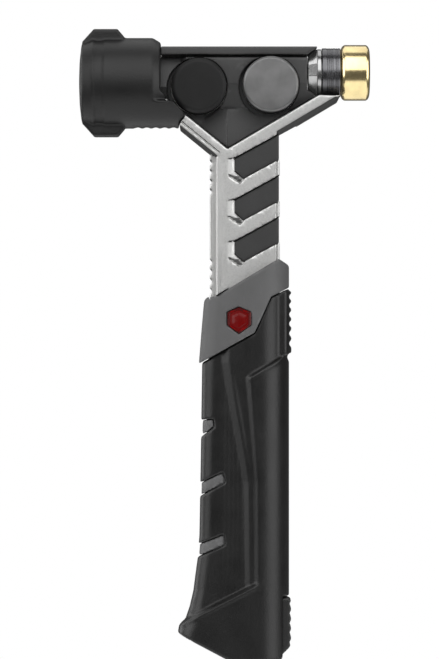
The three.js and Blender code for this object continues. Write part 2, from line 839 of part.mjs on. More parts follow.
const toolTip = () =>
  turnedAlongZ(
    [
      [0, TIP.spigotEnd],
      [TIP.spigot, TIP.spigotEnd],
      [TIP.spigot, TOOL.top + 0.1],
      [TIP.radius - 0.3, TOOL.top + 0.1],
      [TIP.radius, TOOL.top + 0.4],
      [TIP.radius, TIP.top - TIP.chamfer],
      [TIP.radius - TIP.chamfer, TIP.top],
      [5, TIP.top],
      [4.2, TIP.top - 0.8],
      [0, TIP.top - 0.8],
    ],
    TOOL.neckX,
  );

const detentBall = () => {
  const ball = new THREE.SphereGeometry(BALL.radius, 16, 12).rotateX(Math.PI / 2);
  return solid(ball.translate(BALL.x, 0, BALL.z));
};

// A helix along +X.
class Helix extends THREE.Curve {
  constructor(start, end, radius, turns) {
    super();
    Object.assign(this, { start, end, radius, turns });
  }

  getPoint(share) {
    const angle = share * this.turns * 2 * Math.PI;
    const x = THREE.MathUtils.lerp(this.start, this.end, share);
    return new THREE.Vector3(x, this.radius * Math.cos(angle), BALL.z + this.radius * Math.sin(angle));
  }
}

const detentSpring = () => {
  const wire = new THREE.Shape();
  wire.absarc(0, 0, 0.3, 0, 2 * Math.PI);
  const coil = new THREE.ExtrudeGeometry(wire, {
    steps: 36,
    curveSegments: 3,
    extrudePath: new Helix(BALL.x + BALL.radius + 0.45, 2.2, 1.6, 4),
  });
  return solid(coil);
};

// ---- The assembly ----

piece("head_frame", headFrame(), 0xb8b8b8, 0.38, 1);
piece("top_rail", topRail(), 0x444444, 0.45, 0.6);
piece("socket_boss", socketBoss(), 0x9a9a9a, 0.25, 1);
piece("grooved_collar", groovedCollar(), 0x505050, 0.35, 0.9);
piece("tray_front", trayFront(), 0x3a3a3a, 0.5, 0);
piece("tray_rear", trayRear(), 0x3a3a3a, 0.5, 0);
TRAY_SCREWS.forEach((place, index) => {
  piece(`tray_screw_${index + 1}`, trayScrew(place), 0x2e2e2e, 0.4, 0.9);
});
piece("insert_nylon", threadedInsert(NYLON_SEAT), 0xc8a450, 0.4, 1);
piece("insert_steel", threadedInsert(STEEL_SEAT), 0xc8a450, 0.4, 1);
[0, 1, 2].forEach((index) => {
  const inlay = plate(inlayOutline(index, -INLAY.gap, INLAY.back), -INLAY.half, INLAY.half);
  piece(`neck_inlay_${index + 1}`, inlay, 0x444444, 0.5, 0);
});
piece("handle_core", handleCore(), 0x6c6c6c, 0.5, 0);
piece("rubber_grip", rubberGrip(), 0x2f2f2f, 0.75, 0);
piece("badge_left", badgeSpace(-1, 0), 0xb00000, 0.3, 0);
piece("badge_right", badgeSpace(1, 0), 0xb00000, 0.3, 0);
PINS.forEach((pin) => {
  piece(pin.name, turnedAlongY(rod(PIN_RADIUS, -pin.half, pin.half), pin), 0x8a8a8a, 0.4, 1);
});
piece("mallet_cap", malletCap(), 0x262626, 0.7, 0);
piece("brass_face", brassFace(), 0xe8d27a, 0.25, 1);
piece("nylon_face", nylonFace(), 0x262626, 0.55, 0);
piece("nylon_face_stud", nylonStud(), 0x8a8a8a, 0.4, 1);
piece("steel_face", storedFace(STEEL_SEAT, FACE.radius, RIM.steel, FACE.studLength), 0x787878, 0.45, 1);
piece("tool_body", toolBody(), 0x242424, 0.55, 0);
piece("tool_tip", toolTip(), 0xd8d4cc, 0.12, 1);
piece("detent_ball", detentBall(), 0xb8b8b8, 0.2, 1);
piece("detent_spring", detentSpring(), 0x9a9a9a, 0.35, 1);

export default model;
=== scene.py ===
"""Hammer with interchangeable faces: the pieces as a maker would know them, with their finishes.
Sizes are in millimetres and in the hammer's own frame, and become metres when a mesh is made."""
import json
import math

import bmesh
import bpy
import numpy as np
import openvdb
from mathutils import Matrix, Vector


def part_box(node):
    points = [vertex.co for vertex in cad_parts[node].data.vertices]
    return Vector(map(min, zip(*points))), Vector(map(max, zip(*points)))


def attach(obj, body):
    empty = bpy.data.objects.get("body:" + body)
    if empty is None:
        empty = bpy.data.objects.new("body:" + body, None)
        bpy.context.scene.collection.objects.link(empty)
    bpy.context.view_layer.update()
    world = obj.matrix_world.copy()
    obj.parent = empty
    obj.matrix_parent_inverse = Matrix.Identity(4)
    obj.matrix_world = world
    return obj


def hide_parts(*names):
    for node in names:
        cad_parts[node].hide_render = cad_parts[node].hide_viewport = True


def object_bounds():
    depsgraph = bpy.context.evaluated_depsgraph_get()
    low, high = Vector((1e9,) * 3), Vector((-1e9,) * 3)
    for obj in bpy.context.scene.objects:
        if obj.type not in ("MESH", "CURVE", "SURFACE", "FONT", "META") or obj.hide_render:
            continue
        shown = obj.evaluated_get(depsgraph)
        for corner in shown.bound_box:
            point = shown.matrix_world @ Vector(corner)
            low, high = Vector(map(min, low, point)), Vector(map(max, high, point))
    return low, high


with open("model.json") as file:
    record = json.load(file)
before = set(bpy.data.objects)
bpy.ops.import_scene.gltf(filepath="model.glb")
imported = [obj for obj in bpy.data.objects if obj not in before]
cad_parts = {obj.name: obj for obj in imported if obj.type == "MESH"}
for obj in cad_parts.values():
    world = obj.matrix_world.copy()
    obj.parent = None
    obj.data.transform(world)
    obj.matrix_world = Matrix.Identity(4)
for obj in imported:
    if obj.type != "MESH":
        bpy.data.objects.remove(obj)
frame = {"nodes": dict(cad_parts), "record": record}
cad_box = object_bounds()
MM = 0.001


# ---- Materials ----

class Shade:
    """A value in a material. Its operators add maths nodes."""

    def __init__(self, finish, socket):
        self.finish = finish
        self.socket = socket

    def maths(self, operation, *others):
        values = dict(enumerate((self, *others)))
        return self.finish.node("ShaderNodeMath", {"operation": operation}, values)

    def __add__(self, other):
        return self.maths("ADD", other)

    __radd__ = __add__

    def __mul__(self, other):
        return self.maths("MULTIPLY", other)

    __rmul__ = __mul__

    def __sub__(self, other):
        return self.maths("SUBTRACT", other)

    def __rsub__(self, other):
        return (self * -1.0) + other

    def __pow__(self, power):
        return self.maths("POWER", power)

    def clamped(self, low, high):
        """The value spread over 0 to 1 between low and high."""
        values = {0: self, 1: low, 2: high, 3: 0.0, 4: 1.0}
        return self.finish.node("ShaderNodeMapRange", {"interpolation_type": "SMOOTHSTEP"}, values)


class Finish:
    """One material: a Principled surface and the nodes that vary it."""

    def __init__(self, name, **constants):
        self.material = bpy.data.materials.new(name)
        self.material.use_nodes = True
        self.tree = self.material.node_tree
        self.tree.nodes.clear()
        self.surface = self.tree.nodes.new("ShaderNodeBsdfPrincipled")
        output = self.tree.nodes.new("ShaderNodeOutputMaterial")
        self.tree.links.new(self.surface.outputs[0], output.inputs[0])
        for socket, value in constants.items():
            self.surface.inputs[socket.replace("_", " ")].default_value = value
        self.place = self.node("ShaderNodeTexCoord", {}, {}, "Object")

    def node(self, kind, settings, values, output=0):
        made = self.tree.nodes.new(kind)
        for key, value in settings.items():
            setattr(made, key, value)
        for socket, value in values.items():
            self.feed(made.inputs[socket], value)
        return Shade(self, made.outputs[output])

    def feed(self, socket, value):
        if isinstance(value, Shade):
            self.tree.links.new(value.socket, socket)
        else:
            socket.default_value = value

    def set(self, socket, value):
        self.feed(self.surface.inputs[socket], value)

    def noise(self, scale, detail=3.0, roughness=0.5, place=None, stretch=None):
        where = place or self.place
        if stretch:
            where = self.node("ShaderNodeVectorMath", {"operation": "MULTIPLY"}, {0: where, 1: stretch})
        values = {"Vector": where, "Scale": scale, "Detail": detail, "Roughness": roughness}
        return self.node("ShaderNodeTexNoise", {}, values)

    def cells(self, scale):
        return self.node("ShaderNodeTexVoronoi", {}, {"Vector": self.place, "Scale": scale})

    def blend(self, factor, first, second):
        values = {0: factor, 6: first, 7: second}
        return self.node("ShaderNodeMix", {"data_type": "RGBA"}, values, 2)

    def bump(self, height, distance, strength=1.0):
        values = {"Height": height, "Distance": distance, "Strength": strength}
        self.set("Normal", self.node("ShaderNodeBump", {}, values))

    def edges(self, low=0.51, high=0.56):
        """1 along sharp outer edges."""
        return self.node("ShaderNodeNewGeometry", {}, {}, "Pointiness").clamped(low, high)

    def under(self, high=-0.12, low=-0.4):
        """1 on faces that look downwards."""
        parts = self.tree.nodes.new("ShaderNodeSeparateXYZ")
        facing = self.node("ShaderNodeTexCoord", {}, {}, "Normal")
        self.tree.links.new(facing.socket, parts.inputs[0])
        return Shade(self, parts.outputs[2]).clamped(high, low)

    def axes(self):
        parts = self.tree.nodes.new("ShaderNodeSeparateXYZ")
        self.tree.links.new(self.place.socket, parts.inputs[0])
        return [Shade(self, parts.outputs[index]) for index in range(3)]


def grey(value, tint=(1, 1, 1)):
    return (value * tint[0], value * tint[1], value * tint[2], 1.0)


def moulded_rubber(name, tone, roughness=0.37, grain=9000.0, depth=0.00004):
    finish = Finish(name, Specular_IOR_Level=0.42)
    cloud = finish.noise(90, 4)
    fine = finish.noise(grain * 0.2, 2)
    dust = finish.noise(700, 5, 0.7).clamped(0.52, 0.8)
    worn = finish.edges() * finish.noise(260, 4).clamped(0.35, 0.7)
    base = finish.blend(cloud.clamped(0.3, 0.7), grey(tone * 0.8), grey(tone * 1.15, (1, 0.99, 0.98)))
    dusty = finish.blend(dust * 0.25, base, grey(tone * 3.2, (1, 0.98, 0.95)))
    finish.set("Base Color", finish.blend(worn * 0.55, dusty, grey(tone * 3.0)))
    finish.set("Roughness", roughness + (cloud - 0.5) * 0.16 - worn * 0.1 + dust * 0.08)
    finish.bump(fine + finish.cells(grain * 0.12) * 0.5, depth)
    return finish.material


def moulded_plastic(name, tone, roughness=0.45, specular=0.4, tint=(1, 1, 1), depth=0.00003):
    finish = Finish(name, Specular_IOR_Level=specular)
    cloud = finish.noise(120, 4)
    spark = finish.cells(2600)
    scuff = finish.noise(500, 6, 0.65, stretch=(1, 1, 0.25)).clamped(0.58, 0.72)
    worn = finish.edges() * finish.noise(300, 3).clamped(0.4, 0.65)
    base = finish.blend(cloud, grey(tone * 0.85, tint), grey(tone * 1.15, tint))
    finish.set("Base Color", finish.blend(worn * 0.5 + scuff * 0.12, base, grey(tone * 2.1, tint)))
    finish.set("Roughness", roughness + (cloud - 0.5) * 0.14 + scuff * 0.12 - worn * 0.08)
    finish.bump(spark * 0.6 + finish.noise(1800, 2), depth)
    return finish.material


def cast_steel(name, tone, roughness=0.42, tint=(1, 1, 0.985)):
    """Cast, blasted and lightly brushed, with painted shade that makes faces looking downwards nearly black.
    """
    finish = Finish(name, Metallic=1.0)
    cloud = finish.noise(55, 5)
    pits = finish.noise(1500, 3, 0.6)
    brushed = finish.noise(420, 4, 0.6, stretch=(6, 1, 0.18))
    scratch = finish.noise(240, 6, 0.7, stretch=(1, 1, 5)).clamped(0.62, 0.7)
    worn = finish.edges(0.505, 0.54)
    base = finish.blend(cloud, grey(tone * 0.9, tint), grey(tone * 1.06, tint))
    spotted = finish.blend(pits.clamped(0.42, 0.72) * 0.34, base, grey(tone * 0.6, tint))
    bright = finish.blend(worn * 0.6, spotted, grey(min(1.0, tone * 1.3), tint))
    # Painted shade: faces that look downwards, such as the arms' under-chamfers, are darkened almost to
    # black, patchily with the cloud
    painted_under_shade = finish.under() * cloud.clamped(0.1, 0.35)
    finish.set("Base Color", finish.blend(painted_under_shade * 0.97, bright, grey(tone * 0.08, tint)))
    finish.set("Roughness", roughness + (brushed - 0.5) * 0.2 + (cloud - 0.5) * 0.1 - worn * 0.12)
    finish.bump(pits + brushed * 0.5 + scratch * 0.25, 0.00006, 0.7)
    return finish.material


def turned_metal(name, colour, roughness, centre, axis, depth=0.00002, metallic=1.0, specular=0.5):
    """Turned on a lathe: fine rings round an axis through centre."""
    finish = Finish(name, Metallic=metallic, Specular_IOR_Level=specular)
    across = [finish.axes()[index] - centre[index] * MM for index in range(3) if index != axis]
    radius = (across[0] * across[0] + across[1] * across[1]) ** 0.5
    along = finish.axes()[axis]
    path = radius + along
    thread = finish.node("ShaderNodeCombineXYZ", {}, {0: path, 1: radius - along})
    rings = finish.noise(5200, 2, 0.6, place=thread)
    cloud = finish.noise(140, 4)
    mark = finish.noise(700, 5, 0.7).clamped(0.6, 0.75)
    dark = tuple(channel * 0.8 for channel in colour[:3]) + (1.0,)
    light = tuple(min(1.0, channel * 1.07) for channel in colour[:3]) + (1.0,)
    base = finish.blend(cloud.clamped(0.25, 0.75), dark, light)
    finish.set("Base Color", finish.blend(mark * 0.25, base, dark))
    finish.set("Roughness", roughness + (rings - 0.5) * 0.1 + mark * 0.1 + (cloud - 0.5) * 0.06)
    finish.bump(rings, depth)
    return finish.material


# ---- Shapes from distance fields ----

class Space:
    """A block of space in millimetres on a regular grid. A field holds each point's distance from a skin."""

    def __init__(self, low, high, step):
        self.low = np.array(low, float)
        self.step = step
        counts = np.ceil((np.array(high) - self.low) / step).astype(int) + 1
        axes = [self.low[axis] + step * np.arange(counts[axis]) for axis in range(3)]
        self.x = axes[0][:, None, None]
        self.y = axes[1][None, :, None]
        self.z = axes[2][None, None, :]
        self.side = np.abs(self.y)

    def skin(self, name, field, adaptivity=0.0, soft=False):
        """The mesh where the field is 0. A soft one is shaded by the field's own slope."""
        counts = (self.x.size, self.y.size, self.z.size)
        full = np.ascontiguousarray(np.broadcast_to(field, counts), dtype=np.float32)
        grid = openvdb.FloatGrid(background=3.0)
        grid.copyFromArray(full)
        points, triangles, quads = grid.convertToPolygons(isovalue=0.0, adaptivity=adaptivity)
        faces = quads.tolist() + triangles.tolist()
        if soft:
            full = np.clip(full, -3, 3)
            slopes = np.gradient(full)
            for _ in range(2):
                lean = np.stack([sampled(slope, points) for slope in slopes], 1)
                length = np.maximum((lean * lean).sum(1), 0.05)
                shift = np.clip(sampled(full, points) / length, -0.4, 0.4)
                points = points - lean * shift[:, None]
            lean = np.stack([sampled(slope, points) for slope in slopes], 1)
            normals = lean / np.maximum(np.linalg.norm(lean, axis=1), 1e-6)[:, None]
        points = (points * self.step + self.low) * MM
        piece = made(name, points.tolist(), faces, 40)
        if soft:
            piece.data.normals_split_custom_set_from_vertices(normals.tolist())
        return piece


def sampled(values, points):
    """A grid's values at points between its nodes."""
    top = np.array(values.shape) - 1.001
    points = np.clip(points, 0, top)
    first = points.astype(int)
    share = points - first
    total = 0.0
    for dx in (0, 1):
        for dy in (0, 1):
            for dz in (0, 1):
                corner = np.array((dx, dy, dz))
                weight = np.abs(1 - corner - share).prod(1)
                total = total + weight * values[tuple((first + corner).T)]
    return total


def made(name, points, faces, sharp_angle=30):
    mesh = bpy.data.meshes.new(name)
    mesh.from_pydata(points, [], faces)
    mesh.validate()
    mesh.shade_smooth()
    mesh.set_sharp_from_angle(angle=math.radians(sharp_angle))
    piece = bpy.data.objects.new(name, mesh)
    bpy.context.scene.collection.objects.link(piece)
    return piece


def outline(points, u, v):
    """Distance to a closed outline, negative inside."""
    shape = np.broadcast(u, v).shape
    nearest = np.full(shape, 1e9)
    inside = np.zeros(shape, bool)
    corners = [tuple(map(float, point)) for point in points]
    for (ax, az), (bx, bz) in zip(corners, corners[1:] + corners[:1]):
        ex, ez = bx - ax, bz - az
        share = np.clip(((u - ax) * ex + (v - az) * ez) / (ex * ex + ez * ez), 0, 1)
        nearest = np.minimum(nearest, np.hypot(u - ax - share * ex, v - az - share * ez))
        if az != bz:
            spans = (az > v) != (bz > v)
            inside ^= spans & (u < ax + (v - az) * ex / ez)
    return np.where(inside, -nearest, nearest)


def meet(first, second, radius=0.0):
    """What two shapes share, with its new edge rounded."""
    if radius == 0:
        return np.maximum(first, second)
    corner = np.hypot(np.maximum(first + radius, 0), np.maximum(second + radius, 0))
    return np.minimum(np.maximum(first, second), -radius) + corner


def join(first, second, radius=0.0):
    """Two shapes together, with a fillet where they meet."""
    if radius == 0:
        return np.minimum(first, second)
    return -meet(-first, -second, radius)


def carve(body, tool, radius=0.0):
    return meet(body, -tool, radius)


def cylinder(u, v, centre, radius):
    return np.hypot(u - centre[0], v - centre[1]) - radius


def ramp(value, low, high):
    """0 at low, 1 at high, straight between."""
    return np.clip((value - low) / (high - low), 0, 1)


def eased(value, low, high):
    share = ramp(value, low, high)
    return share * share * (3 - 2 * share)


# ---- Turned shapes ----

def rounded(profile, radius):
    """The profile with each inner corner replaced by a short arc."""
    out = [profile[0]]
    for before, corner, after in zip(profile, profile[1:], profile[2:]):
        a, b, c = (np.array(point, float) for point in (before, corner, after))
        to_a, to_c = a - b, c - b
        reach_a, reach_c = np.linalg.norm(to_a), np.linalg.norm(to_c)
        reach = min(radius, reach_a * 0.4, reach_c * 0.4)
        start, end = b + to_a / reach_a * reach, b + to_c / reach_c * reach
        for share in (0, 0.25, 0.5, 0.75, 1):
            point = (1 - share) ** 2 * start + 2 * share * (1 - share) * b + share ** 2 * end
            out.append(tuple(point))
    out.append(profile[-1])
    return out


def round_axis(centre, axis, across, along, reach, angle):
    """A point in metres, at that reach and angle from the axis through centre."""
    point = list(centre)
    point[axis] = along
    point[across[0]] += reach * math.cos(angle)
    point[across[1]] += reach * math.sin(angle)
    return [value * MM for value in point]


def turned(name, profile, axis, centre, sides=128, radius=0.2, closed=False):
    """A profile of (distance along the axis, radius) pairs, turned round an axis through centre."""
    points = rounded(profile + profile[:2] if closed else profile, radius)
    if closed:
        points = points[1:-1]
    across = [index for index in range(3) if index != axis]
    if axis != 1:
        across.reverse()
    vertices, faces, rings = [], [], []
    for along, reach in points:
        if reach < 1e-6:
            rings.append([len(vertices)])
            vertices.append(round_axis(centre, axis, across, along, 0, 0))
            continue
        rings.append(list(range(len(vertices), len(vertices) + sides)))
        for side in range(sides):
            vertices.append(round_axis(centre, axis, across, along, reach, 2 * math.pi * side / sides))
    pairs = list(zip(rings, rings[1:])) + ([(rings[-1], rings[0])] if closed else [])
    for lower, upper in pairs:
        for side in range(sides):
            after = (side + 1) % sides
            if len(lower) == 1 and len(upper) == 1:
                continue
            if len(lower) == 1:
                faces.append((lower[0], upper[side], upper[after]))
            elif len(upper) == 1:
                faces.append((lower[after], lower[side], upper[0]))
            else:
                faces.append((lower[after], lower[side], upper[side], upper[after]))
    piece = made(name, vertices, faces)
    outward(piece)
    return piece


def outward(piece):
    """Turns every face to look outwards."""
    mesh = bmesh.new()
    mesh.from_mesh(piece.data)
    bmesh.ops.recalc_face_normals(mesh, faces=mesh.faces)
    mesh.to_mesh(piece.data)
    mesh.free()


def threaded(name, start, end, radius, axis, centre, pitch=1.0, depth=0.45, sides=48, bore=None):
    """A threaded rod, or with a bore the inside of a threaded bush."""
    rows = int((end - start) / pitch * 8) + 1
    across = [index for index in range(3) if index != axis]
    vertices, faces = [], []
    for row in range(rows + 1):
        along = start + (end - start) * row / rows
        fade = min(1.0, (along - start) / pitch, (end - along) / pitch)
        for side in range(sides):
            phase = (along / pitch + side / sides) % 1.0
            groove = depth * abs(2 * phase - 1) ** 1.3 * (fade if bore is None else 1)
            lead = 0 if bore else 0.35 * max(0.0, 1 - fade)
            reach = radius - groove - lead if bore is None else radius + groove
            vertices.append(round_axis(centre, axis, across, along, reach, 2 * math.pi * side / sides))
    for row in range(rows):
        for side in range(sides):
            after = (side + 1) % sides
            low, high = row * sides, (row + 1) * sides
            faces.append((low + side, low + after, high + after, high + side))
    if bore is None:
        faces.append(tuple(reversed(range(sides))))
        faces.append(tuple(range(rows * sides, (rows + 1) * sides)))
    else:
        outer = []
        for along in (start, end):
            ring = []
            for side in range(sides):
                ring.append(len(vertices))
                vertices.append(round_axis(centre, axis, across, along, bore, 2 * math.pi * side / sides))
            outer.append(ring)
        for side in range(sides):
            after = (side + 1) % sides
            top = rows * sides
            faces.append((side, after, outer[0][after], outer[0][side]))
            faces.append((top + side, top + after, outer[1][after], outer[1][side]))
            faces.append((outer[0][side], outer[0][after], outer[1][after], outer[1][side]))
    piece = made(name, vertices, faces, 50)
    outward(piece)
    return piece


def lofted(name, rings, closed=False, sharp_angle=30):
    """A skin over rings of points in millimetres, with a cap at each end unless it is closed."""
    sides = len(rings[0])
    vertices = [[value * MM for value in point] for ring in rings for point in ring]
    faces = []
    for ring in range(len(rings) if closed else len(rings) - 1):
        near, far = ring * sides, (ring + 1) % len(rings) * sides
        for side in range(sides):
            after = (side + 1) % sides
            faces.append((near + side, near + after, far + after, far + side))
    if not closed:
        faces.append(tuple(reversed(range(sides))))
        faces.append(tuple(range(len(vertices) - sides, len(vertices))))
    piece = made(name, vertices, faces, sharp_angle)
    outward(piece)
    return piece


def fitted(piece, body, slot, finish, *nodes):
    """Puts the finish on a piece, and lets it ride and stand for its CAD nodes. The slot is not used."""
    piece.data.materials.append(finish)
    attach(piece, body)
    if nodes:
        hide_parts(*nodes)
    return piece


def minus(piece, tool):
    """Cuts the tool out of the piece and takes the tool away."""
    change = piece.modifiers.new("cut", "BOOLEAN")
    change.operation = "DIFFERENCE"
    change.solver = "MANIFOLD"
    change.object = tool
    settle(piece)
    bpy.data.objects.remove(tool)


def settle(piece):
    """Makes the modifiers' result the piece's own mesh."""
    shown = piece.evaluated_get(bpy.context.evaluated_depsgraph_get())
    mesh = bpy.data.meshes.new_from_object(shown)
    piece.modifiers.clear()
    old = piece.data
    piece.data = mesh
    bpy.data.meshes.remove(old)


def ends(node):
    """Lowest and highest corner of a CAD node, in millimetres."""
    low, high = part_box(node)
    return [value / MM for value in low], [value / MM for value in high]


def middle(node):
    low, high = ends(node)
    return [(a + b) / 2 for a, b in zip(low, high)]


def seen_middle(node):
    """The X and Z of a CAD node's middle."""
    x, _, z = middle(node)
    return x, z


# ---- Finishes ----

SOCKET_AXIS = middle("socket_boss")
POLL_AXIS = [0, 0, 150.6]
NYLON_AXIS = middle("insert_nylon")
STEEL_AXIS = middle("insert_steel")
TIP_AXIS = middle("tool_tip")

frame_steel = cast_steel("cast_frame_steel", 0.54, 0.5)
poll_steel = turned_metal("turned_poll_steel", (0.6, 0.6, 0.59, 1), 0.34, POLL_AXIS, 0)
rail_paint = moulded_plastic("rail_dark_coating", 0.04, 0.42, 0.45)
boss_steel = turned_metal("socket_bright_steel", (0.46, 0.46, 0.46, 1), 0.22, SOCKET_AXIS, 0)
collar_oxide = turned_metal("collar_dark_oxide", (0.15, 0.15, 0.157, 1), 0.26, SOCKET_AXIS, 0)
tray_plastic = moulded_plastic("tray_moulding", 0.042, 0.45, 0.4)
inlay_plastic = moulded_plastic("neck_inlay_moulding", 0.036, 0.5, 0.3)
screw_oxide = turned_metal("screw_black_oxide", (0.05, 0.05, 0.055, 1), 0.38, [0, 0, 0], 1)
nylon_bush_brass = turned_metal("nylon_bush_brass", (0.62, 0.46, 0.2, 1), 0.3, NYLON_AXIS, 1)
steel_bush_brass = turned_metal("steel_bush_brass", (0.62, 0.46, 0.2, 1), 0.3, STEEL_AXIS, 1)
core_plastic = moulded_plastic("handle_core_moulding", 0.094, 0.5, 0.35, (1, 1, 1.01))
grip_rubber = moulded_rubber("grip_overmould_rubber", 0.004)
badge_enamel = moulded_plastic("badge_red_enamel", 0.13, 0.3, 0.2, (1, 0.004, 0.004), 0.000004)
badge_rim = moulded_plastic("badge_dark_red_rim", 0.06, 0.3, 0.35, (1, 0.01, 0.01), 0.000004)
pin_steel = cast_steel("plain_pin_steel", 0.5, 0.35)
cap_rubber = moulded_rubber("mallet_cap_rubber", 0.004, 0.45)
strike_brass = turned_metal("striking_brass", (0.93, 0.76, 0.4, 1), 0.19, SOCKET_AXIS, 0)
black_nylon = turned_metal("turned_black_nylon", (0.009, 0.009, 0.009, 1), 0.52, NYLON_AXIS, 1, 0.00004, 0.0,
                           0.25)
strike_steel = turned_metal("striking_steel", (0.2, 0.2, 0.2, 1), 0.42, STEEL_AXIS, 1, 0.00003)
tool_plastic = moulded_plastic("tool_body_moulding", 0.014, 0.42, 0.4)
chrome = turned_metal("tool_tip_chrome", (0.82, 0.8, 0.77, 1), 0.08, TIP_AXIS, 2, 0.000006)
ball_steel = cast_steel("polished_ball_steel", 0.75, 0.1)
spring_wire = cast_steel("spring_wire_steel", 0.45, 0.3)


# ---- Head frame ----

HEAD_HALF = ends("top_rail")[1][1]
CROTCH = (-7.4, 124.0)
RIGHT_TIP = (29.0, 145.5)
LEFT_TIP = (-24.2, 137.7)
ARM_WIDTH = 5.8
NECK_HALF = 12
STRIP_HALF = 6
TANG_HALF_WIDTH, TANG_HALF_DEPTH, TANG_FOOT = 8.5, 5, 25
PIN_HOLE = 3.2
POLL_START, POLL_END = -57.5, -35.4
POLL_RADIUS = 14


def beside(a, b, along, offset):
    """A point on the line from a to b, moved to the left of its direction by offset."""
    length = math.hypot(b[0] - a[0], b[1] - a[1])
    dx, dz = (b[0] - a[0]) / length, (b[1] - a[1]) / length
    return (a[0] + dx * along - dz * offset, a[1] + dz * along + dx * offset)


def past(a, b, x, z):
    """How far a point lies to the left of the line from a to b."""
    length = math.hypot(b[0] - a[0], b[1] - a[1])
    return ((b[0] - a[0]) * (z - a[1]) - (b[1] - a[1]) * (x - a[0])) / length


RIGHT_LENGTH = math.hypot(RIGHT_TIP[0] - CROTCH[0], RIGHT_TIP[1] - CROTCH[1])
LEFT_LENGTH = math.hypot(LEFT_TIP[0] - CROTCH[0], LEFT_TIP[1] - CROTCH[1])
INLAY_PITCH = 16.5
INLAY_SLOPE = 0.545


def left_inner(x):
    """The height of the left arm's upper edge at x."""
    return CROTCH[1] + (x - CROTCH[0]) * (LEFT_TIP[1] - CROTCH[1]) / (LEFT_TIP[0] - CROTCH[0])


def pocket(margin, top_margin=None):
    left = -35.0 - margin
    right = 29.0
    top = 161.0 + (margin if top_margin is None else top_margin)
    lx, lz = beside(CROTCH, LEFT_TIP, 0, margin)
    rx, rz = beside(CROTCH, RIGHT_TIP, 0, -margin)
    left_slope = (LEFT_TIP[1] - CROTCH[1]) / (LEFT_TIP[0] - CROTCH[0])
    right_slope = (RIGHT_TIP[1] - CROTCH[1]) / (RIGHT_TIP[0] - CROTCH[0])
    cx = (rz - lz + left_slope * lx - right_slope * rx) / (left_slope - right_slope)
    cz = lz + left_slope * (cx - lx)
    return [(cx, cz), (right, rz + right_slope * (right - rx)), (right, top), (left, top),
            (left, lz + left_slope * (left - lx))]


def window(index, margin, back):
    drop = index * INLAY_PITCH
    left, foot = -4.7 - margin, -1.2 - margin
    return [(foot, 112 - drop - margin), (back, 112 + (back - foot) * INLAY_SLOPE - drop - margin),
            (back, 120.3 + (back - left) * INLAY_SLOPE - drop + margin), (left, 120.3 - drop + margin),
            (left, 115.2 - drop - margin)]


def neck_strips(x, z, side):
    """The narrower strips in front of and behind the neck, the front one notched for the thumb."""
    front = outline([(-14.5, 64.4), (0, 64.4), (0, 121.5), (-13.4, 122.4), (-14.5, 121.5)], x, z)
    back = outline([(6, 78.6), (13.4, 78.6), (13.4, 129), (6, 129)], x, z)
    strips = meet(join(front, back), side - STRIP_HALF, 0.6)
    for top in (118.6, 79.0):
        for index in range(4):
            notch = np.hypot((x + 15.1) * 0.9, z - (top - index * 3.85)) - 1.25
            strips = carve(strips, notch, 0.3)
    return strips


def neck_windows(x, z, side):
    """Each window's room, with a sloping left wall and a facet in its lower corner."""
    for index in range(3):
        drop = index * INLAY_PITCH
        hole = outline(window(index, 0, 20), x, z)
        wall = [(-7.4, 119.9 - drop), (-3, 120.9 - drop), (-3, 113.6 - drop), (-7.4, 113.6 - drop)]
        depth = 1.1 * np.clip(1 - hole / 2.7, 0, 1)
        slope = np.maximum(outline(wall, x, z), HEAD_HALF - depth - side)
        facet = [(-7.4, 113.4 - drop), (-4.6, 114.4 - drop), (0, 112.8 - drop), (-2.5, 110.1 - drop)]
        depth = 0.2 + 0.35 * np.maximum(0, 114.4 - drop - z)
        corner = np.maximum(outline(facet, x, z), HEAD_HALF - depth - side)
        yield np.minimum(np.minimum(hole, slope), corner)


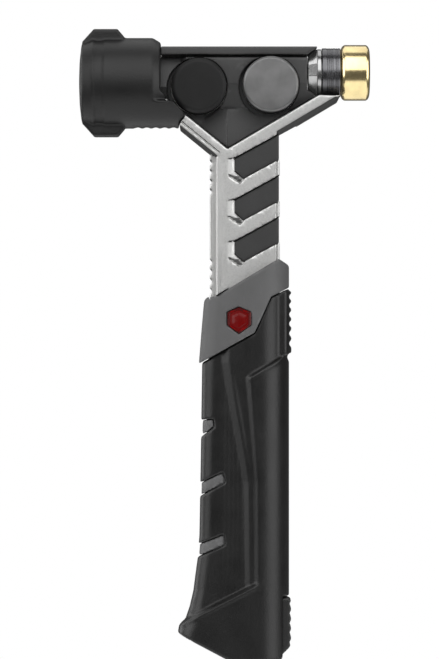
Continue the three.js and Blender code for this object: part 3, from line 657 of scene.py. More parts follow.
def head_frame():
    space = Space((-37, -10.2, 22), (40, 10.2, 163), 0.32)
    x, z, side = space.x, space.z, space.side
    fork = [beside(CROTCH, LEFT_TIP, 4, ARM_WIDTH), (-NECK_HALF, 121), (NECK_HALF, 121), (NECK_HALF, 128.6),
            beside(CROTCH, RIGHT_TIP, RIGHT_LENGTH + 5.2, -ARM_WIDTH), (37.4, 145.2), RIGHT_TIP, CROTCH,
            LEFT_TIP, beside(CROTCH, LEFT_TIP, LEFT_LENGTH - 0.6, 4.4),
            beside(CROTCH, LEFT_TIP, LEFT_LENGTH - 2, ARM_WIDTH)]
    neck = [(-NECK_HALF, 65.4), (NECK_HALF, 79.8), (NECK_HALF, 129), CROTCH, (-NECK_HALF, 121)]
    flat = join(outline(fork, x, z), outline(neck, x, z), 0)
    body = meet(flat, side - HEAD_HALF, 0.5)
    entry = [(-NECK_HALF, 60.8), (NECK_HALF, 75.2), (NECK_HALF, 82), (-NECK_HALF, 82)]
    entry = np.maximum(np.maximum(outline(entry, x, z), side - HEAD_HALF), handle(space, 1.2))
    # The long chamfers under the arms
    right_low = [beside(CROTCH, RIGHT_TIP, along, -ARM_WIDTH) for along in (0, RIGHT_LENGTH)]
    left_low = [beside(CROTCH, LEFT_TIP, along, ARM_WIDTH) for along in (0, LEFT_LENGTH)]
    right_chamfer = (-past(*right_low, x, z) / 1.7 + (side - HEAD_HALF) / 2.6 + 1) * 1.42
    left_chamfer = (past(*left_low, x, z) / 1.0 + (side - HEAD_HALF) / 1.8 + 1) * 0.87
    body = np.where(x > 12.2, meet(body, right_chamfer, 0.3), body)
    body = np.where((x < -11.9) & (z > 120), meet(body, left_chamfer, 0.3), body)
    # The engraved line along the left arm
    line = np.abs(past(CROTCH, LEFT_TIP, x, z) - 3.3) - 0.3
    line = np.maximum(line, np.maximum(x + 10.6, HEAD_HALF - 0.5 - side))
    body = carve(body, line, 0.12)
    edge_line = np.maximum(np.abs(x + 11.9) - 0.3, np.maximum(z - 121, HEAD_HALF - 0.7 - side))
    body = carve(body, edge_line, 0.1)
    tang = [(-TANG_HALF_WIDTH, TANG_FOOT), (TANG_HALF_WIDTH, TANG_FOOT), (TANG_HALF_WIDTH, 76),
            (-TANG_HALF_WIDTH, 76)]
    tang = np.maximum(outline(tang, x, z), side - TANG_HALF_DEPTH)
    hidden = outline([(-35.8, 134), (-22, 134), (-22, left_inner(-22)), (-35.8, left_inner(-35.8))], x, z)
    inside_poll = np.hypot(space.y, z - POLL_AXIS[2]) - POLL_RADIUS
    hidden = np.maximum(hidden, np.maximum(side - HEAD_HALF, inside_poll))
    web = np.maximum(outline(pocket(0.6, 0.3), x, z), side - 1.4)
    body = join(body, neck_strips(x, z, side), 0.15)
    for extra in (entry, tang, hidden, web):
        body = np.minimum(body, extra)
    for opening in neck_windows(x, z, side):
        body = carve(body, opening, 0.2)
    for node, reach in (("tang_pin_upper", PIN_HOLE), ("tang_pin_lower", PIN_HOLE), ("insert_nylon", 4.2),
                        ("insert_steel", 4.2), ("tray_screw_1", 1.8), ("tray_screw_2", 1.8)):
        body = np.maximum(body, -cylinder(x, z, seen_middle(node), reach))
    body = carve(body, socket_space(space, 0.2), 0.3)
    piece = space.skin("fork_neck_and_tang", body, 0.015)
    fitted(piece, "frame", "satin_steel", frame_steel, "head_frame")
    profile = [(POLL_START, 0), (POLL_START, 9.0), (POLL_START + 0.4, 9.4), (POLL_START, 9.8),
               (POLL_START, POLL_RADIUS - 1.6), (POLL_START + 1.6, POLL_RADIUS)]
    groove_floor = POLL_RADIUS - 0.2
    profile += [(-50, POLL_RADIUS), (-49.8, groove_floor), (-49.2, groove_floor), (-49, POLL_RADIUS)]
    profile += [(POLL_END - 2, POLL_RADIUS), (POLL_END, POLL_RADIUS - 0.4), (POLL_END, 0)]
    poll = turned("poll", profile, 0, POLL_AXIS)
    fitted(poll, "frame", "satin_steel", poll_steel, "head_frame")


# ---- Rail and socket ----

CONE_START, CONE_END = 24.7, 28.35
COLLAR_START, COLLAR_END = 30.2, 37.7
COLLAR_RADIUS = 9.8
BUSH_RADIUS = 9.4
FACE_RADIUS = 11.1
FACE_LENGTH = 11.4
STUD_RADIUS = 3.0


def socket_space(space, margin):
    """The round room of the socket, cone and all."""
    reach = np.hypot(space.y, space.z - SOCKET_AXIS[2])
    bare = [(CONE_START, 0), (CONE_START, 6.6), (28.6, BUSH_RADIUS), (COLLAR_START, BUSH_RADIUS),
            (COLLAR_START, COLLAR_RADIUS), (41, COLLAR_RADIUS), (41, 0)]
    return outline(bare, space.x, reach) - margin


def top_rail():
    low, high = ends("top_rail")
    space = Space((low[0] - 1, -10.4, low[2] - 1), (high[0] + 1, 10.4, high[2] + 1), 0.3)
    x, z = space.x, space.z
    bar = outline([(low[0], low[2]), (high[0] - 4.5, low[2]), (high[0], high[2]), (low[0], high[2])], x, z)
    body = meet(bar, space.side - high[1], 0.45)
    groove = np.maximum(np.abs(space.side - 5.2) - 0.45, high[2] - 0.35 - z)
    body = carve(body, groove, 0.15)
    fitted(space.skin("top_rail_bar", body, 0.02), "frame", "dark_steel", rail_paint, "top_rail")


def flatted_cone(name, centre):
    """The bush's cone, with flats that widen towards the collar round its bore."""
    bore = [(5.2, 1.6), (3.6, 4.0), (3.6, -4.0), (5.2, -1.6)]
    narrow = [(8.2, 2.6), (6.0, 6.6), (4.4, -6.7), (8.2, -1.8)]
    wide = [(8.6, 3.3), (6.2, 9.0), (3.5, -9.4), (8.6, -1.8)]
    rings = []
    for x, corners in ((CONE_START, narrow), (CONE_END, wide), (CONE_END, bore), (CONE_START, bore)):
        mirrored = [(-y, z) for y, z in corners]
        ring = corners[:2] + mirrored[1::-1] + mirrored[:1:-1] + corners[2:]
        rings.append([(x, y, centre[2] + z) for y, z in ring])
    piece = lofted(name, rings, closed=True, sharp_angle=20)
    soft = piece.modifiers.new("soft_edges", "BEVEL")
    soft.width = 0.2 * MM
    soft.segments = 2
    settle(piece)
    return piece


def socket():
    centre = SOCKET_AXIS
    inside = [(30.4, 0), (30.4, 3.1), (COLLAR_END - 0.5, 3.1), (COLLAR_END, 3.4)]
    outside = [(COLLAR_END, 6.5), (30.0, 6.5), (30.0, BUSH_RADIUS), (28.4, BUSH_RADIUS), (28.2, 5.4),
               (28.0, 3.4), (25.2, 3.4), (25.2, 0)]
    bush = turned("socket_bush", inside + outside, 0, centre, radius=0.25)
    fitted(bush, "frame", "bright_steel", boss_steel, "socket_boss")
    cone = flatted_cone("socket_bush_flats", centre)
    fitted(cone, "frame", "bright_steel", boss_steel, "socket_boss")
    profile = [(COLLAR_START, 6.7), (COLLAR_START, COLLAR_RADIUS - 0.3), (COLLAR_START + 0.3, COLLAR_RADIUS)]
    for x in (32.4, 33.1, 33.8, 34.5, 35.8, 36.5):
        floor = COLLAR_RADIUS - 0.18
        profile += [(x - 0.16, COLLAR_RADIUS), (x - 0.1, floor), (x + 0.1, floor), (x + 0.16, COLLAR_RADIUS)]
    profile += [(COLLAR_END - 0.3, COLLAR_RADIUS), (COLLAR_END, COLLAR_RADIUS - 0.3), (COLLAR_END, 6.7)]
    collar = turned("grooved_collar_ring", profile, 0, centre, radius=0.08, closed=True)
    fitted(collar, "frame", "dark_collar", collar_oxide, "grooved_collar")


def brass_face():
    start = COLLAR_END + 0.2
    end = start + FACE_LENGTH
    centre = middle("brass_face")
    profile = [(end, 0), (end, 8.6), (end - 0.2, 9.7), (end - 0.7, 10.6), (end - 1.3, 11.0),
               (end - 1.5, FACE_RADIUS), (end - 1.7, FACE_RADIUS), (start + 1.6, FACE_RADIUS),
               (start + 1.4, FACE_RADIUS), (start + 1.2, 11.0), (start + 0.5, 10.5), (start, 9.6),
               (start, 3.2), (start - 0.2, 2.6), (start - 0.2, 0)]
    disc = turned("brass_face_disc", profile, 0, centre, radius=0.15)
    stud = threaded("brass_face_stud", start - 6.6, start + 0.1, STUD_RADIUS, 0, centre)
    for piece in (disc, stud):
        fitted(piece, "brass", "strike_brass", strike_brass, "brass_face")


# ---- Storage tray and spare faces ----

# The height where the tray's upper and lower facets meet, and the X where the lower ones do
FACET_LEVEL, FACET_SPLIT = 140.2, -7.2


def tray_relief(x, z):
    """How deep the tray's facets lie under its flat top."""
    waist = np.clip((150 - z) * 0.4, 0, 3.7)
    left = x < FACET_SPLIT
    lower = 2.4 - (FACET_LEVEL - z) * np.where(left, 0.14, 0.05)
    lower = lower + np.abs(x - FACET_SPLIT) * np.where(left, 0.32, 0.22)
    corner = np.clip((z - 147) * 0.3, 0, 4) * ramp(-24 - x, 0, 2)
    return np.clip(np.where(z > FACET_LEVEL, np.maximum(waist, corner), lower), 0, 5)


def tray_half(name, sign, spare_seats):
    space = Space((-35.4, 1.2, 122), (30, 9.0, 162), 0.3)
    x, y, z = space.x, space.y, space.z
    plan = outline(pocket(-0.5), x, z)
    relief = tray_relief(x, z) if spare_seats else np.clip((139 - z) * 0.14, 0, 1.6) + 0 * x
    face = y - (8.4 - relief)
    body = meet(plan, face, 0.35)
    body = np.maximum(body, 1.5 - y)
    # The end that gives way to the socket's cone
    socket_side = [(24.2, 147.7), (28.1, 144.9), (31, 144.9), (31, 164.7), (28.1, 164.7), (24.2, 161.9)]
    body = carve(body, outline(socket_side, x, z), 0.25)
    if spare_seats:
        for axis in (NYLON_AXIS, STEEL_AXIS):
            seat = cylinder(x, z, (axis[0], axis[2]), 11.3)
            crescent = np.maximum(cylinder(x, z, (axis[0] - 0.9, axis[2] - 0.75), 11.9), 3.4 - y)
            body = carve(body, np.minimum(seat, crescent), 0.25)
    else:
        for axis in (NYLON_AXIS, STEEL_AXIS):
            place = (axis[0], axis[2])
            body = np.maximum(body, -np.maximum(cylinder(x, z, place, 4.4), y - 8.2))
            ring = np.abs(cylinder(x, z, place, 8.6)) - 0.4
            body = carve(body, np.maximum(ring, 7.9 - y), 0.15)
        for node in ("tray_screw_1", "tray_screw_2"):
            place = seen_middle(node)
            hole = np.minimum(cylinder(x, z, place, 1.8), np.maximum(cylinder(x, z, place, 3.1), 6.4 - y))
            body = carve(body, hole, 0.2)
    piece = space.skin(name, body, 0.02)
    if sign < 0:
        for vertex in piece.data.vertices:
            vertex.co.y *= -1
        piece.data.flip_normals()
    return piece


def tray():
    front = tray_half("spare_face_tray", -1, True)
    fitted(front, "frame", "tray_polymer", tray_plastic, "tray_front")
    rear = tray_half("tray_rear_cover", 1, False)
    fitted(rear, "frame", "tray_polymer", tray_plastic, "tray_rear")
    for node, axis, finish in (("insert_nylon", NYLON_AXIS, nylon_bush_brass),
                               ("insert_steel", STEEL_AXIS, steel_bush_brass)):
        low, high = ends(node)
        bush = threaded(node + "_bush", low[1], high[1], 3.05, 1, axis, depth=0.3, bore=4.2)
        fitted(bush, "frame", "insert_brass", finish, node)
    for node in ("tray_screw_1", "tray_screw_2"):
        centre = middle(node)
        foot, top = [corner[1] for corner in ends(node)]
        shank = threaded(node + "_shank", foot, top - 1.4, 1.4, 1, centre, 0.6, 0.22, 32)
        profile = [(top - 1.5, 0), (top - 1.5, 2.8), (top - 0.3, 2.8), (top, 2.4), (top, 0)]
        head = turned(node + "_head", profile, 1, centre, 64, 0.15)
        profile = [(top - 0.9, 0), (top - 0.9, 1.3), (top + 1, 1.3), (top + 1, 0)]
        key = turned(node + "_key", profile, 1, centre, 6, 0)
        minus(head, key)
        head.data.set_sharp_from_angle(angle=math.radians(30))
        for piece in (shank, head):
            fitted(piece, "frame", "fastener_steel", screw_oxide, node)


SEAT_FLOOR = -1.5


def spare_face(name, axis, edge, radius):
    """A stored face: edge gives its front edge's points, as distances from the front and the axis."""
    front = SEAT_FLOOR - FACE_LENGTH
    profile = [(front, 0)] + [(front + behind, reach) for behind, reach in edge]
    for ahead, dip in ((2.6, 0), (2.3, 0.2), (1.9, 0.2), (1.6, 0), (0.4, 0), (0, 0.4)):
        profile.append((SEAT_FLOOR - ahead, radius - dip))
    profile += [(SEAT_FLOOR, 3.1), (SEAT_FLOOR - 0.2, 3.1), (SEAT_FLOOR - 0.2, 0)]
    return turned(name, profile, 1, axis, radius=0.35)


def spare_faces():
    stud_ends = SEAT_FLOOR - 0.1, SEAT_FLOOR + 6.8
    nylon = spare_face("nylon_face_disc", NYLON_AXIS, [(0, 9.3), (0.15, 9.9), (1.1, 11.0)], 11.0)
    fitted(nylon, "nylon", "nylon_black", black_nylon, "nylon_face")
    stud = threaded("nylon_face_stud_rod", *stud_ends, STUD_RADIUS, 1, NYLON_AXIS)
    fitted(stud, "nylon", "pin_steel", pin_steel, "nylon_face_stud")
    steel = spare_face("steel_face_disc", STEEL_AXIS, [(0, 10.1), (0.1, 10.4), (0.8, 11.1)], FACE_RADIUS)
    stud = threaded("steel_face_stud_rod", *stud_ends, STUD_RADIUS, 1, STEEL_AXIS)
    for piece in (steel, stud):
        fitted(piece, "steel", "strike_steel", strike_steel, "steel_face")


# ---- Mallet cap ----

CAP_RADIUS = 18.1


def mallet_cap():
    space = Space((-67.4, -19, 128.4), (-23.4, 19, 172.8), 0.55)
    x, z, side = space.x, space.z, space.side
    reach = np.hypot(space.y, z - POLL_AXIS[2])
    shell = outline([(-66.6, -1), (-66.6, 4), (-66.3, 10), (-65.7, 15), (-65.2, 16.2),
                     (-61, CAP_RADIUS), (-24.4, CAP_RADIUS), (-24.4, -1)], x, reach)
    # A shallow band behind the face
    shell = carve(shell, np.maximum(np.abs(x + 58.6) - 1.7, 17.75 - reach), 0.3)
    lug = [(-65.3, 14), (-65.3, 16.2), (-60.7, 21.3), (-51.2, 21.3), (-48.4, 18), (-48.4, 14)]
    above = np.abs(z - POLL_AXIS[2])
    body = join(shell, meet(outline(lug, x, above), side - 6.5, 0.7), 0.5)
    # The chamfered rear rim
    rim = (x + 34.0) * 0.53 + (reach - CAP_RADIUS) * 0.85 + 1.7
    body = meet(body, np.where(z > 143, rim, -5), 0.3)
    cavity = outline([(-58, -1), (-58, 12.7), (-56.4, 14.3), (-20, 14.3), (-20, -1)], x, reach)
    body = carve(body, cavity, 0.5)
    # The slanted edge that the left arm passes
    gone = outline([(-34, 147.2), (-29.2, 142.6), (-25.6, 139.1), (-24.46, 137.86), (-26.78, 134.07),
                    (-26.75, 126), (-20, 126), (-20, 180), (-34, 180)], x, z)
    body = carve(body, gone, 0.6)
    for index in range(5):
        groove = np.hypot(x + 29.0 + index * 3.57, z - 131.6) - 1.5
        groove = np.maximum(groove, side - 7.5)
        body = carve(body, groove, 0.45)
    cap = space.skin("mallet_cap_moulding", body, soft=True)
    fitted(cap, "mallet", "cap_rubber", cap_rubber, "mallet_cap")


# ---- Handle ----

# Height and X of the points down the handle's front edge
FRONT_EDGE = [(-84, -31.4), (-68, -27.2), (-64.8, -26), (-58.4, -23.8), (-52, -22.3), (-45.6, -21.5),
              (-39, -20.6), (-30, -19.9), (0, -19.4), (38, -18.9), (52, -17.8), (62.4, -16.9), (84, -14.6)]
BACK_CENTRE, BACK_RADIUS, FRONT_RADIUS = 3.2, 14.0, 10.0
BUTT_BOTTOM = -79.6
CORE_INSET = 3.8
BORE_RADIUS = 9.2


def handle(space, inset=0.0):
    """The belt round the handle's round back and its round front."""
    levels, edges = zip(*FRONT_EDGE)
    nose = np.interp(space.z, levels, edges) + FRONT_RADIUS
    span = BACK_CENTRE - nose
    lean = (FRONT_RADIUS - BACK_RADIUS) / span
    rise = np.sqrt(1 - lean * lean)
    along = space.x - nose
    across = space.side
    key = along * rise - across * lean
    front = np.hypot(across, along) - FRONT_RADIUS
    back = np.hypot(across, along - span) - BACK_RADIUS
    flank = across * rise + along * lean - FRONT_RADIUS
    body = np.where(key < 0, front, np.where(key > rise * span, back, flank))
    return body + inset


def handle_side(space, inset=0.0):
    points = [(-36, -64.5 + inset), (-6.4, BUTT_BOTTOM + inset), (14 - inset * 0.4, BUTT_BOTTOM + inset),
              (22, -69.8 + inset), (22, 74.8), (17.2, 77.8), (13, 80.3), (11.9, 79.8), (-12, 65.4),
              (-15.2, 65.2), (-36, 50)]
    return outline(points, space.x, space.z)


SEAM = [(-18.8, 38.4), (3.3, 50.8), (9.9, 65.1), (16.4, 68.4)]


def seam(shift, upper):
    line = [(-30, 32.1 + shift)] + [(x, z + shift) for x, z in SEAM] + [(24, 72.3 + shift)]
    return line + [(24, 95), (-30, 95)] if upper else [(-45, -95), (24, -95)] + line[::-1] + [(-45, 26)]


BARS = [[(-24, 5), (-12.9, 13.6), (-13.3, 16.3), (-24, 15.2)],
        [(-24, -17.4), (-8.6, -8.4), (-9.6, -4.9), (-24, -12)],
        [(-28, -42.6), (-8.6, -33.2), (-9.2, -29.6), (-28, -37.4)]]

BADGE_OUTLINE = [(-4.9, 3.22), (-4.9, -1.82), (0, -5.2), (4.9, -1.82), (4.9, 3.22), (0, 5.2)]
BADGE_TURN = math.radians(20.2)
BADGE_X = middle("badge_left")[0]
BADGE_Z = middle("badge_left")[2]
BADGE_DEPTH = ends("badge_right")[1][1] - 4.9 * math.sin(BADGE_TURN)


def grip_relief(x, z):
    """How deep the moulded panels of the grip lie under its housing, seen from the side."""
    housing_edge = np.interp(z, [-48, -8.8, 32.5], [5.6, 5.4, 2.2])
    into_channel = ramp(housing_edge - x, 0.4, 2.2)
    top_line = 32.5 + (x - 0.2) * (42 - 32.5) / (16 - 0.2)
    above = ramp(z - top_line, 0, 0.9)
    lip_line = -64.1 + (x + 24.2) * (64.1 - 48.4) / (5.4 + 24.2)
    over_lip = ramp(z - lip_line, 0, 0.9)
    channel = np.maximum(into_channel, above) * over_lip
    finger_edge = np.interp(z, [-51.2, -8.8, 39.2], [2.2, 1.6, -7.0])
    fade = eased(x, -19.2, -9.0)
    finger = ramp(finger_edge - x, 0, 2.6) * over_lip * fade
    groove = np.clip(1 - np.abs(x - finger_edge - 0.5) / 0.7, 0, 1) * over_lip * ramp(38 - z, 0, 14)
    lip = np.clip(1 - np.abs(z - lip_line + 0.7) / 1.2, 0, 1) * ramp(5.4 - x, 0, 2)
    brow = np.clip(1 - np.abs(z - top_line + 0.7) / 1.2, 0, 1) * ramp(x - 0.6, 0, 2)
    return 1.25 * channel + 1.15 * finger + 0.45 * groove - 0.35 * np.maximum(lip, brow)


def tab_slot(space):
    """The slot in the butt's back that the tool's tab runs in."""
    return np.maximum(np.maximum(space.side - 7.6, BACK_CENTRE - space.x), space.z + 54.1)


def tang_room(space):
    """The tang's room in the core, 0.2 mm clear of it all round."""
    half, foot = TANG_HALF_WIDTH + 0.2, TANG_FOOT - 0.2
    room = outline([(-half, foot), (half, foot), (half, 95), (-half, 95)], space.x, space.z)
    return np.maximum(room, space.side - TANG_HALF_DEPTH - 0.2)


def rubber_grip():
    space = Space((-32, -15, -81), (19.5, 15, 72), 0.58)
    x, z, side = space.x, space.z, space.side
    relief = grip_relief(x, z) * eased(15.5 - x, 0, 3)
    outer = handle(space) + relief
    body = meet(meet(outer, handle_side(space), 1.0), outline(seam(-0.15, False), x, z), 0.4)
    # The ridged thumb pad at the back
    pad = meet(handle(space, -0.95), np.maximum(side - 8, np.maximum(12 - x, np.abs(z - 54.9) - 12.7)), 0.8)
    pad = np.maximum(pad, outline(seam(-0.15, False), x, z))
    body = join(body, pad, 0.4)
    for level in (65.2, 61.8, 58.2, 54.5, 50.6, 46.6):
        body = carve(body, np.hypot(x - 18.6, z - level) - 1.35, 0.4)
    body = carve(body, np.hypot(x - 18.2, z - 41.2) - 1.7, 0.3)
    # Ridges under the little finger
    levels, edges = zip(*FRONT_EDGE)
    for level in (-40.4, -43.7, -47.2, -50.8, -54.6, -58.4, -62.4):
        front = float(np.interp(level, levels, edges))
        dent = np.hypot(x - front + 0.55, z - level) - 1.4
        body = carve(body, np.maximum(dent, side - 7.5), 0.45)
    for index in range(3):
        dent = np.hypot(x + 21 - index * 3.4, z - (-71.9 - index * 1.75)) - 1.1
        body = carve(body, np.maximum(dent, side - 8), 0.4)
    for bar in BARS:
        low_left, low_right, high_right, high_left = bar
        grown = [(low_left[0], low_left[1] - 0.3), (low_right[0] + 0.3, low_right[1] - 0.3),
                 (high_right[0] + 0.3, high_right[1] + 0.3), (high_left[0], high_left[1] + 0.3)]
        body = carve(body, outline(grown, x, z), 0.35)
    body = carve(body, cylinder(x, space.y, (BACK_CENTRE, 0), BORE_RADIUS), 0.4)
    body = carve(body, tab_slot(space), 0.4)
    inside = np.maximum(handle(space, CORE_INSET - 0.2), handle_side(space, CORE_INSET - 0.2))
    body = np.maximum(body, -inside)
    grip = space.skin("rubber_overmould", body, soft=True)
    fitted(grip, "frame", "grip_rubber", grip_rubber, "rubber_grip")


def handle_core():
    space = Space((-27, -15, 30), (19, 15, 82), 0.5)
    x, z, side = space.x, space.z, space.side
    bolster = meet(meet(handle(space), handle_side(space), 0.8), outline(seam(0.15, True), x, z), 0.3)
    along = (x - BADGE_X) / math.cos(BADGE_TURN)
    plan = outline([(u * 1.06, w * 1.06) for u, w in BADGE_OUTLINE], along, z - BADGE_Z)
    floor = side - BADGE_DEPTH + 1.7 - (x - BADGE_X) * math.tan(BADGE_TURN)
    bolster = carve(bolster, np.maximum(plan, -floor), 0.3)
    neck = [(-12.2, 60.6), (12.2, 75.0), (12.2, 95), (-12.2, 95)]
    slot = np.maximum(np.maximum(outline(neck, x, z), side - 9.8), handle(space, 1.0))
    front = np.maximum(outline([(-14.7, 64.2), (0, 64.2), (0, 95), (-14.7, 95)], x, z), side - 6.2)
    back = np.maximum(outline([(0, 78.4), (13.6, 78.4), (13.6, 95), (0, 95)], x, z), side - 6.2)
    inner = np.maximum(handle(space, CORE_INSET), handle_side(space, CORE_INSET))
    bolster = np.minimum(bolster, inner)
    for room in (slot, front, back, tang_room(space)):
        bolster = carve(bolster, room, 0.25)
    for node in ("tang_pin_upper", "tang_pin_lower"):
        hole = np.maximum(cylinder(x, z, seen_middle(node), PIN_HOLE), side - 9.6)
        bolster = np.maximum(bolster, -hole)
    bolster = np.maximum(bolster, 30.5 - z)
    top = space.skin("bolster", bolster, soft=True)
    fitted(top, "frame", "core_polymer", core_plastic, "handle_core")
    # Under the bolster the core is hidden but for its bars, the bore and the mouth
    low = Space((-31, -15, -80), (19, 15, 31), 0.7)
    x, z, side = low.x, low.z, low.side
    body = np.maximum(handle(low, CORE_INSET), handle_side(low, CORE_INSET))
    for bar in BARS:
        block = meet(outline(bar, x, z), handle(low, 0.5) + grip_relief(x, z), 0.3)
        body = np.minimum(body, block)
    body = np.maximum(body, z - 30.3)
    bore = np.maximum(cylinder(x, low.y, (BACK_CENTRE, 0), BORE_RADIUS), z - 20)
    ball_groove = np.maximum(np.maximum(side - 2.9, x - BACK_CENTRE), np.maximum(-7.5 - x, z + 66.6))
    for room in (bore, tang_room(low), tab_slot(low), ball_groove):
        body = carve(body, room, 0.3)
    fitted(low.skin("core_below_bolster", body, 0.02), "frame", "core_polymer", core_plastic, "handle_core")


# Each ring's reach as a share of the outline, and its height over the badge's plane
BADGE_RINGS = [(1.0, -1.3), (1.0, -0.15), (0.94, 0.12), (0.84, 0.12), (0.8, -0.15), (0.62, -0.1),
               (0.56, 0.12), (0.3, 0.3), (0.02, 0.34)]


def badges():
    for node, sign in (("badge_left", -1), ("badge_right", 1)):
        rings = []
        for scale, height in BADGE_RINGS:
            ring = []
            for a, b in zip(BADGE_OUTLINE, BADGE_OUTLINE[1:] + BADGE_OUTLINE[:1]):
                for share in (0, 0.2, 0.4, 0.6, 0.8):
                    u = (a[0] + (b[0] - a[0]) * share) * scale
                    w = (a[1] + (b[1] - a[1]) * share) * scale
                    out = BADGE_DEPTH + height * math.cos(BADGE_TURN) + u * math.sin(BADGE_TURN)
                    across = BADGE_X + u * math.cos(BADGE_TURN) - height * math.sin(BADGE_TURN)
                    ring.append((across, sign * out, BADGE_Z + w))
            rings.append(ring)
        piece = lofted(node + "_emblem", rings)
        fitted(piece, "frame", "badge_red", badge_enamel, node)
        piece.data.materials.append(badge_rim)
        for face in piece.data.polygons:
            spot = face.center
            reach = max(abs(spot.x / MM - BADGE_X) / 4.6, abs(spot.z / MM - BADGE_Z) / 5.2)
            face.material_index = 1 if 0.78 < reach else 0


def tang_pins():
    for node in ("tang_pin_upper", "tang_pin_lower"):
        near, far = [corner[1] for corner in ends(node)]
        profile = [(near, 0), (near, 2.6), (near + 0.4, 3), (far - 0.4, 3), (far, 2.6), (far, 0)]
        pin = turned(node + "_rod", profile, 1, middle(node), 64)
        fitted(pin, "frame", "pin_steel", pin_steel, node)


def neck_inlays():
    space = Space((-6, -9.2, 76), (14, 9.2, 131), 0.3)
    x, z, side = space.x, space.z, space.side
    for index in range(3):
        plan = outline(window(index, -0.15, 13.05), x, z)
        body = meet(plan, side - 8.6, 0.45)
        node = f"neck_inlay_{index + 1}"
        inlay = space.skin(node + "_moulding", body, 0.02)
        fitted(inlay, "frame", "inlay_polymer", inlay_plastic, node)


# ---- Stowed tool ----

def tool_body():
    space = Space((-7, -9.4, -80.4), (19, 9.4, 7), 0.5)
    x, y, z, side = space.x, space.y, space.z, space.side
    low, top = -79.4, 6.0
    share = np.clip((z - low) / (top - low), 0, 1)
    centre, radius = 3.25 + share * 0.85, 8.5 - share * 0.9
    barrel = np.hypot(x - centre, y) - radius
    body = meet(meet(barrel, low - z, 0.6), z - top, 0.5)
    tab = [(3.25, -79.2), (12.5, -79.2), (17.1, -74.6), (17.9, -73.2), (17.9, -55.5), (16.5, -54.7),
           (3.25, -54.7)]
    tab = meet(outline(tab, x, z), side - 7, 0.7)
    body = join(body, tab, 0.8)
    for level in (-57.2, -61.0, -64.9, -68.7, -72.5):
        body = carve(body, np.maximum(np.hypot(x - 18.7, z - level) - 1.35, side - 9), 0.35)
    hole = cylinder(x, z, (3.9, -8.2), 3.5)
    body = carve(body, hole, 0.6)
    # A plain flat on each side, with a lozenge's outline
    lozenge = np.abs(x - 3.6) / 3.4 + np.abs(z + 37) / 8.0 - 1
    body = carve(body, np.maximum(lozenge * 2.2, 7.75 - side), 0.2)
    tip_hole = np.maximum(cylinder(x, y, (4.1, 0), 4.2), -3.3 - z)
    ball_hole = np.maximum(np.hypot(y, z + 69.6) - 2.6, x - 2.6)
    body = carve(carve(body, tip_hole, 0.2), ball_hole, 0.2)
    piece = space.skin("tool_barrel_and_tab", body, soft=True)
    fitted(piece, "tool", "tool_polymer", tool_plastic, "tool_body")


def tool_tip():
    profile = [(-3, 0), (-3, 3.6), (-2.6, 4), (6.1, 4), (6.1, 7.1), (6.5, 7.4), (7.2, 7.4), (7.4, 7.2),
               (7.8, 7.2), (8, 7.4), (18.0, 7.4), (18.7, 6.7), (18.7, 4.8), (17.9, 4.2), (17.9, 1.6),
               (17.2, 0.9), (17.2, 0)]
    tip = turned("tool_driver_tip", profile, 2, TIP_AXIS, 160)
    fitted(tip, "tool", "tip_chrome", chrome, "tool_tip")


def detent():
    """The ball, and the finish of the CAD's spring."""
    centre = middle("detent_ball")
    low, high = ends("detent_ball")
    radius = (high[2] - low[2]) / 2
    steps = 36
    angles = [math.pi * step / steps for step in range(steps + 1)]
    profile = [(centre[0] + radius * math.cos(angle), radius * math.sin(angle)) for angle in angles]
    ball = turned("detent_ball_bearing", profile, 0, centre, 64, 0)
    fitted(ball, "ball", "ball_steel", ball_steel, "detent_ball")
    spring = frame["nodes"]["detent_spring"]
    spring.data.materials.clear()
    spring.data.materials.append(spring_wire)


# ---- Studio ----

CAMERA_PLACE = (-0.0106, -1.464, 0.0522)
CAMERA_LENS, CAMERA_SENSOR = 200, 36
FLOOR_RADIUS, FLOOR_SIDES = 0.46, 96
FLOOR_GLOW = 0.6
AIR_BRIGHTNESS = 0.12


def softbox(name, aim, azimuth, elevation, distance, size, brightness):
    """A soft light seen from the object at that azimuth (0 in front, 90 at the right) and elevation."""
    data = bpy.data.lights.new(name, "AREA")
    data.shape = "RECTANGLE"
    data.size, data.size_y = size
    data.energy = brightness * math.pi * size[0] * size[1]
    turn, rise = math.radians(azimuth), math.radians(elevation)
    out = Vector((math.sin(turn) * math.cos(rise), -math.cos(turn) * math.cos(rise), math.sin(rise)))
    light = bpy.data.objects.new(name, data)
    light.location = aim + out * distance
    light.rotation_euler = (-out).to_track_quat("-Z", "Y").to_euler()
    bpy.context.scene.collection.objects.link(light)


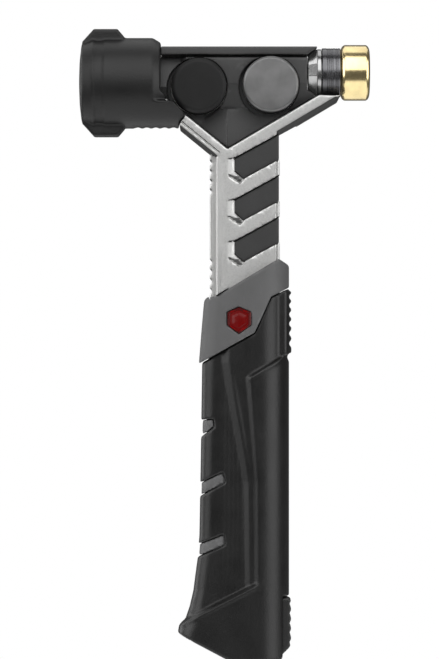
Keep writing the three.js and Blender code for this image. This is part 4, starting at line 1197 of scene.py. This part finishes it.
def studio():
    low, high = cad_box
    data = bpy.data.cameras.new("camera")
    data.lens = CAMERA_LENS
    data.sensor_width = CAMERA_SENSOR
    camera = bpy.data.objects.new("camera", data)
    camera.location = CAMERA_PLACE
    camera.rotation_euler = (math.radians(90), 0, 0)
    bpy.context.scene.collection.objects.link(camera)
    bpy.context.scene.camera = camera
    bpy.context.scene.view_settings.view_transform = "Standard"

    # The floor lies deep enough for the tool to come all the way out
    travel = next(joint["range_m"][1] for joint in frame["record"]["behaviour"]["joints"]
                  if joint["name"] == "tool_pull")
    angles = [2 * math.pi * step / FLOOR_SIDES for step in range(FLOOR_SIDES)]
    ring = [(FLOOR_RADIUS * math.cos(angle), FLOOR_RADIUS * math.sin(angle), low.z - travel - 0.002)
            for angle in angles]
    floor = made("floor", ring, [tuple(range(FLOOR_SIDES))])
    pale = Finish("pale_floor", Roughness=0.9, Specular_IOR_Level=0.1)
    mottled = pale.blend(pale.noise(6, 2), grey(0.68), grey(0.72))
    pale.set("Base Color", mottled)
    pale.set("Emission Color", mottled)
    pale.surface.inputs["Emission Strength"].default_value = FLOOR_GLOW
    floor.data.materials.append(pale.material)

    world = bpy.data.worlds.new("studio")
    bpy.context.scene.world = world
    world.use_nodes = True
    tree = world.node_tree
    tree.nodes.clear()
    backdrop = tree.nodes.new("ShaderNodeBackground")
    backdrop.inputs[0].default_value = (1, 1, 1, 1)
    air = tree.nodes.new("ShaderNodeBackground")
    air.inputs[0].default_value = (1, 1, 1, 1)
    air.inputs[1].default_value = AIR_BRIGHTNESS
    path = tree.nodes.new("ShaderNodeLightPath")
    mix = tree.nodes.new("ShaderNodeMixShader")
    out = tree.nodes.new("ShaderNodeOutputWorld")
    tree.links.new(path.outputs["Is Camera Ray"], mix.inputs[0])
    tree.links.new(air.outputs[0], mix.inputs[1])
    tree.links.new(backdrop.outputs[0], mix.inputs[2])
    tree.links.new(mix.outputs[0], out.inputs[0])

    aim = Vector(((low.x + high.x) / 2, 0, (low.z + high.z) / 2))
    softbox("left_softbox", aim, -74, 18, 1.3, (1.05, 1.2), 2.35)
    softbox("left_rim_softbox", aim, -124, 12, 1.4, (0.55, 1.2), 2.1)
    softbox("right_softbox", aim, 63, 12, 1.3, (1.0, 1.3), 2.4)
    softbox("front_softbox", aim, 0, 40, 1.4, (1.5, 1.5), 2.1)
    softbox("ceiling_softbox", aim, 180, 68, 1.3, (1.8, 1.1), 1.1)


head_frame()
top_rail()
socket()
brass_face()
tray()
spare_faces()
mallet_cap()
neck_inlays()
rubber_grip()
handle_core()
badges()
tang_pins()
tool_body()
tool_tip()
detent()
studio()
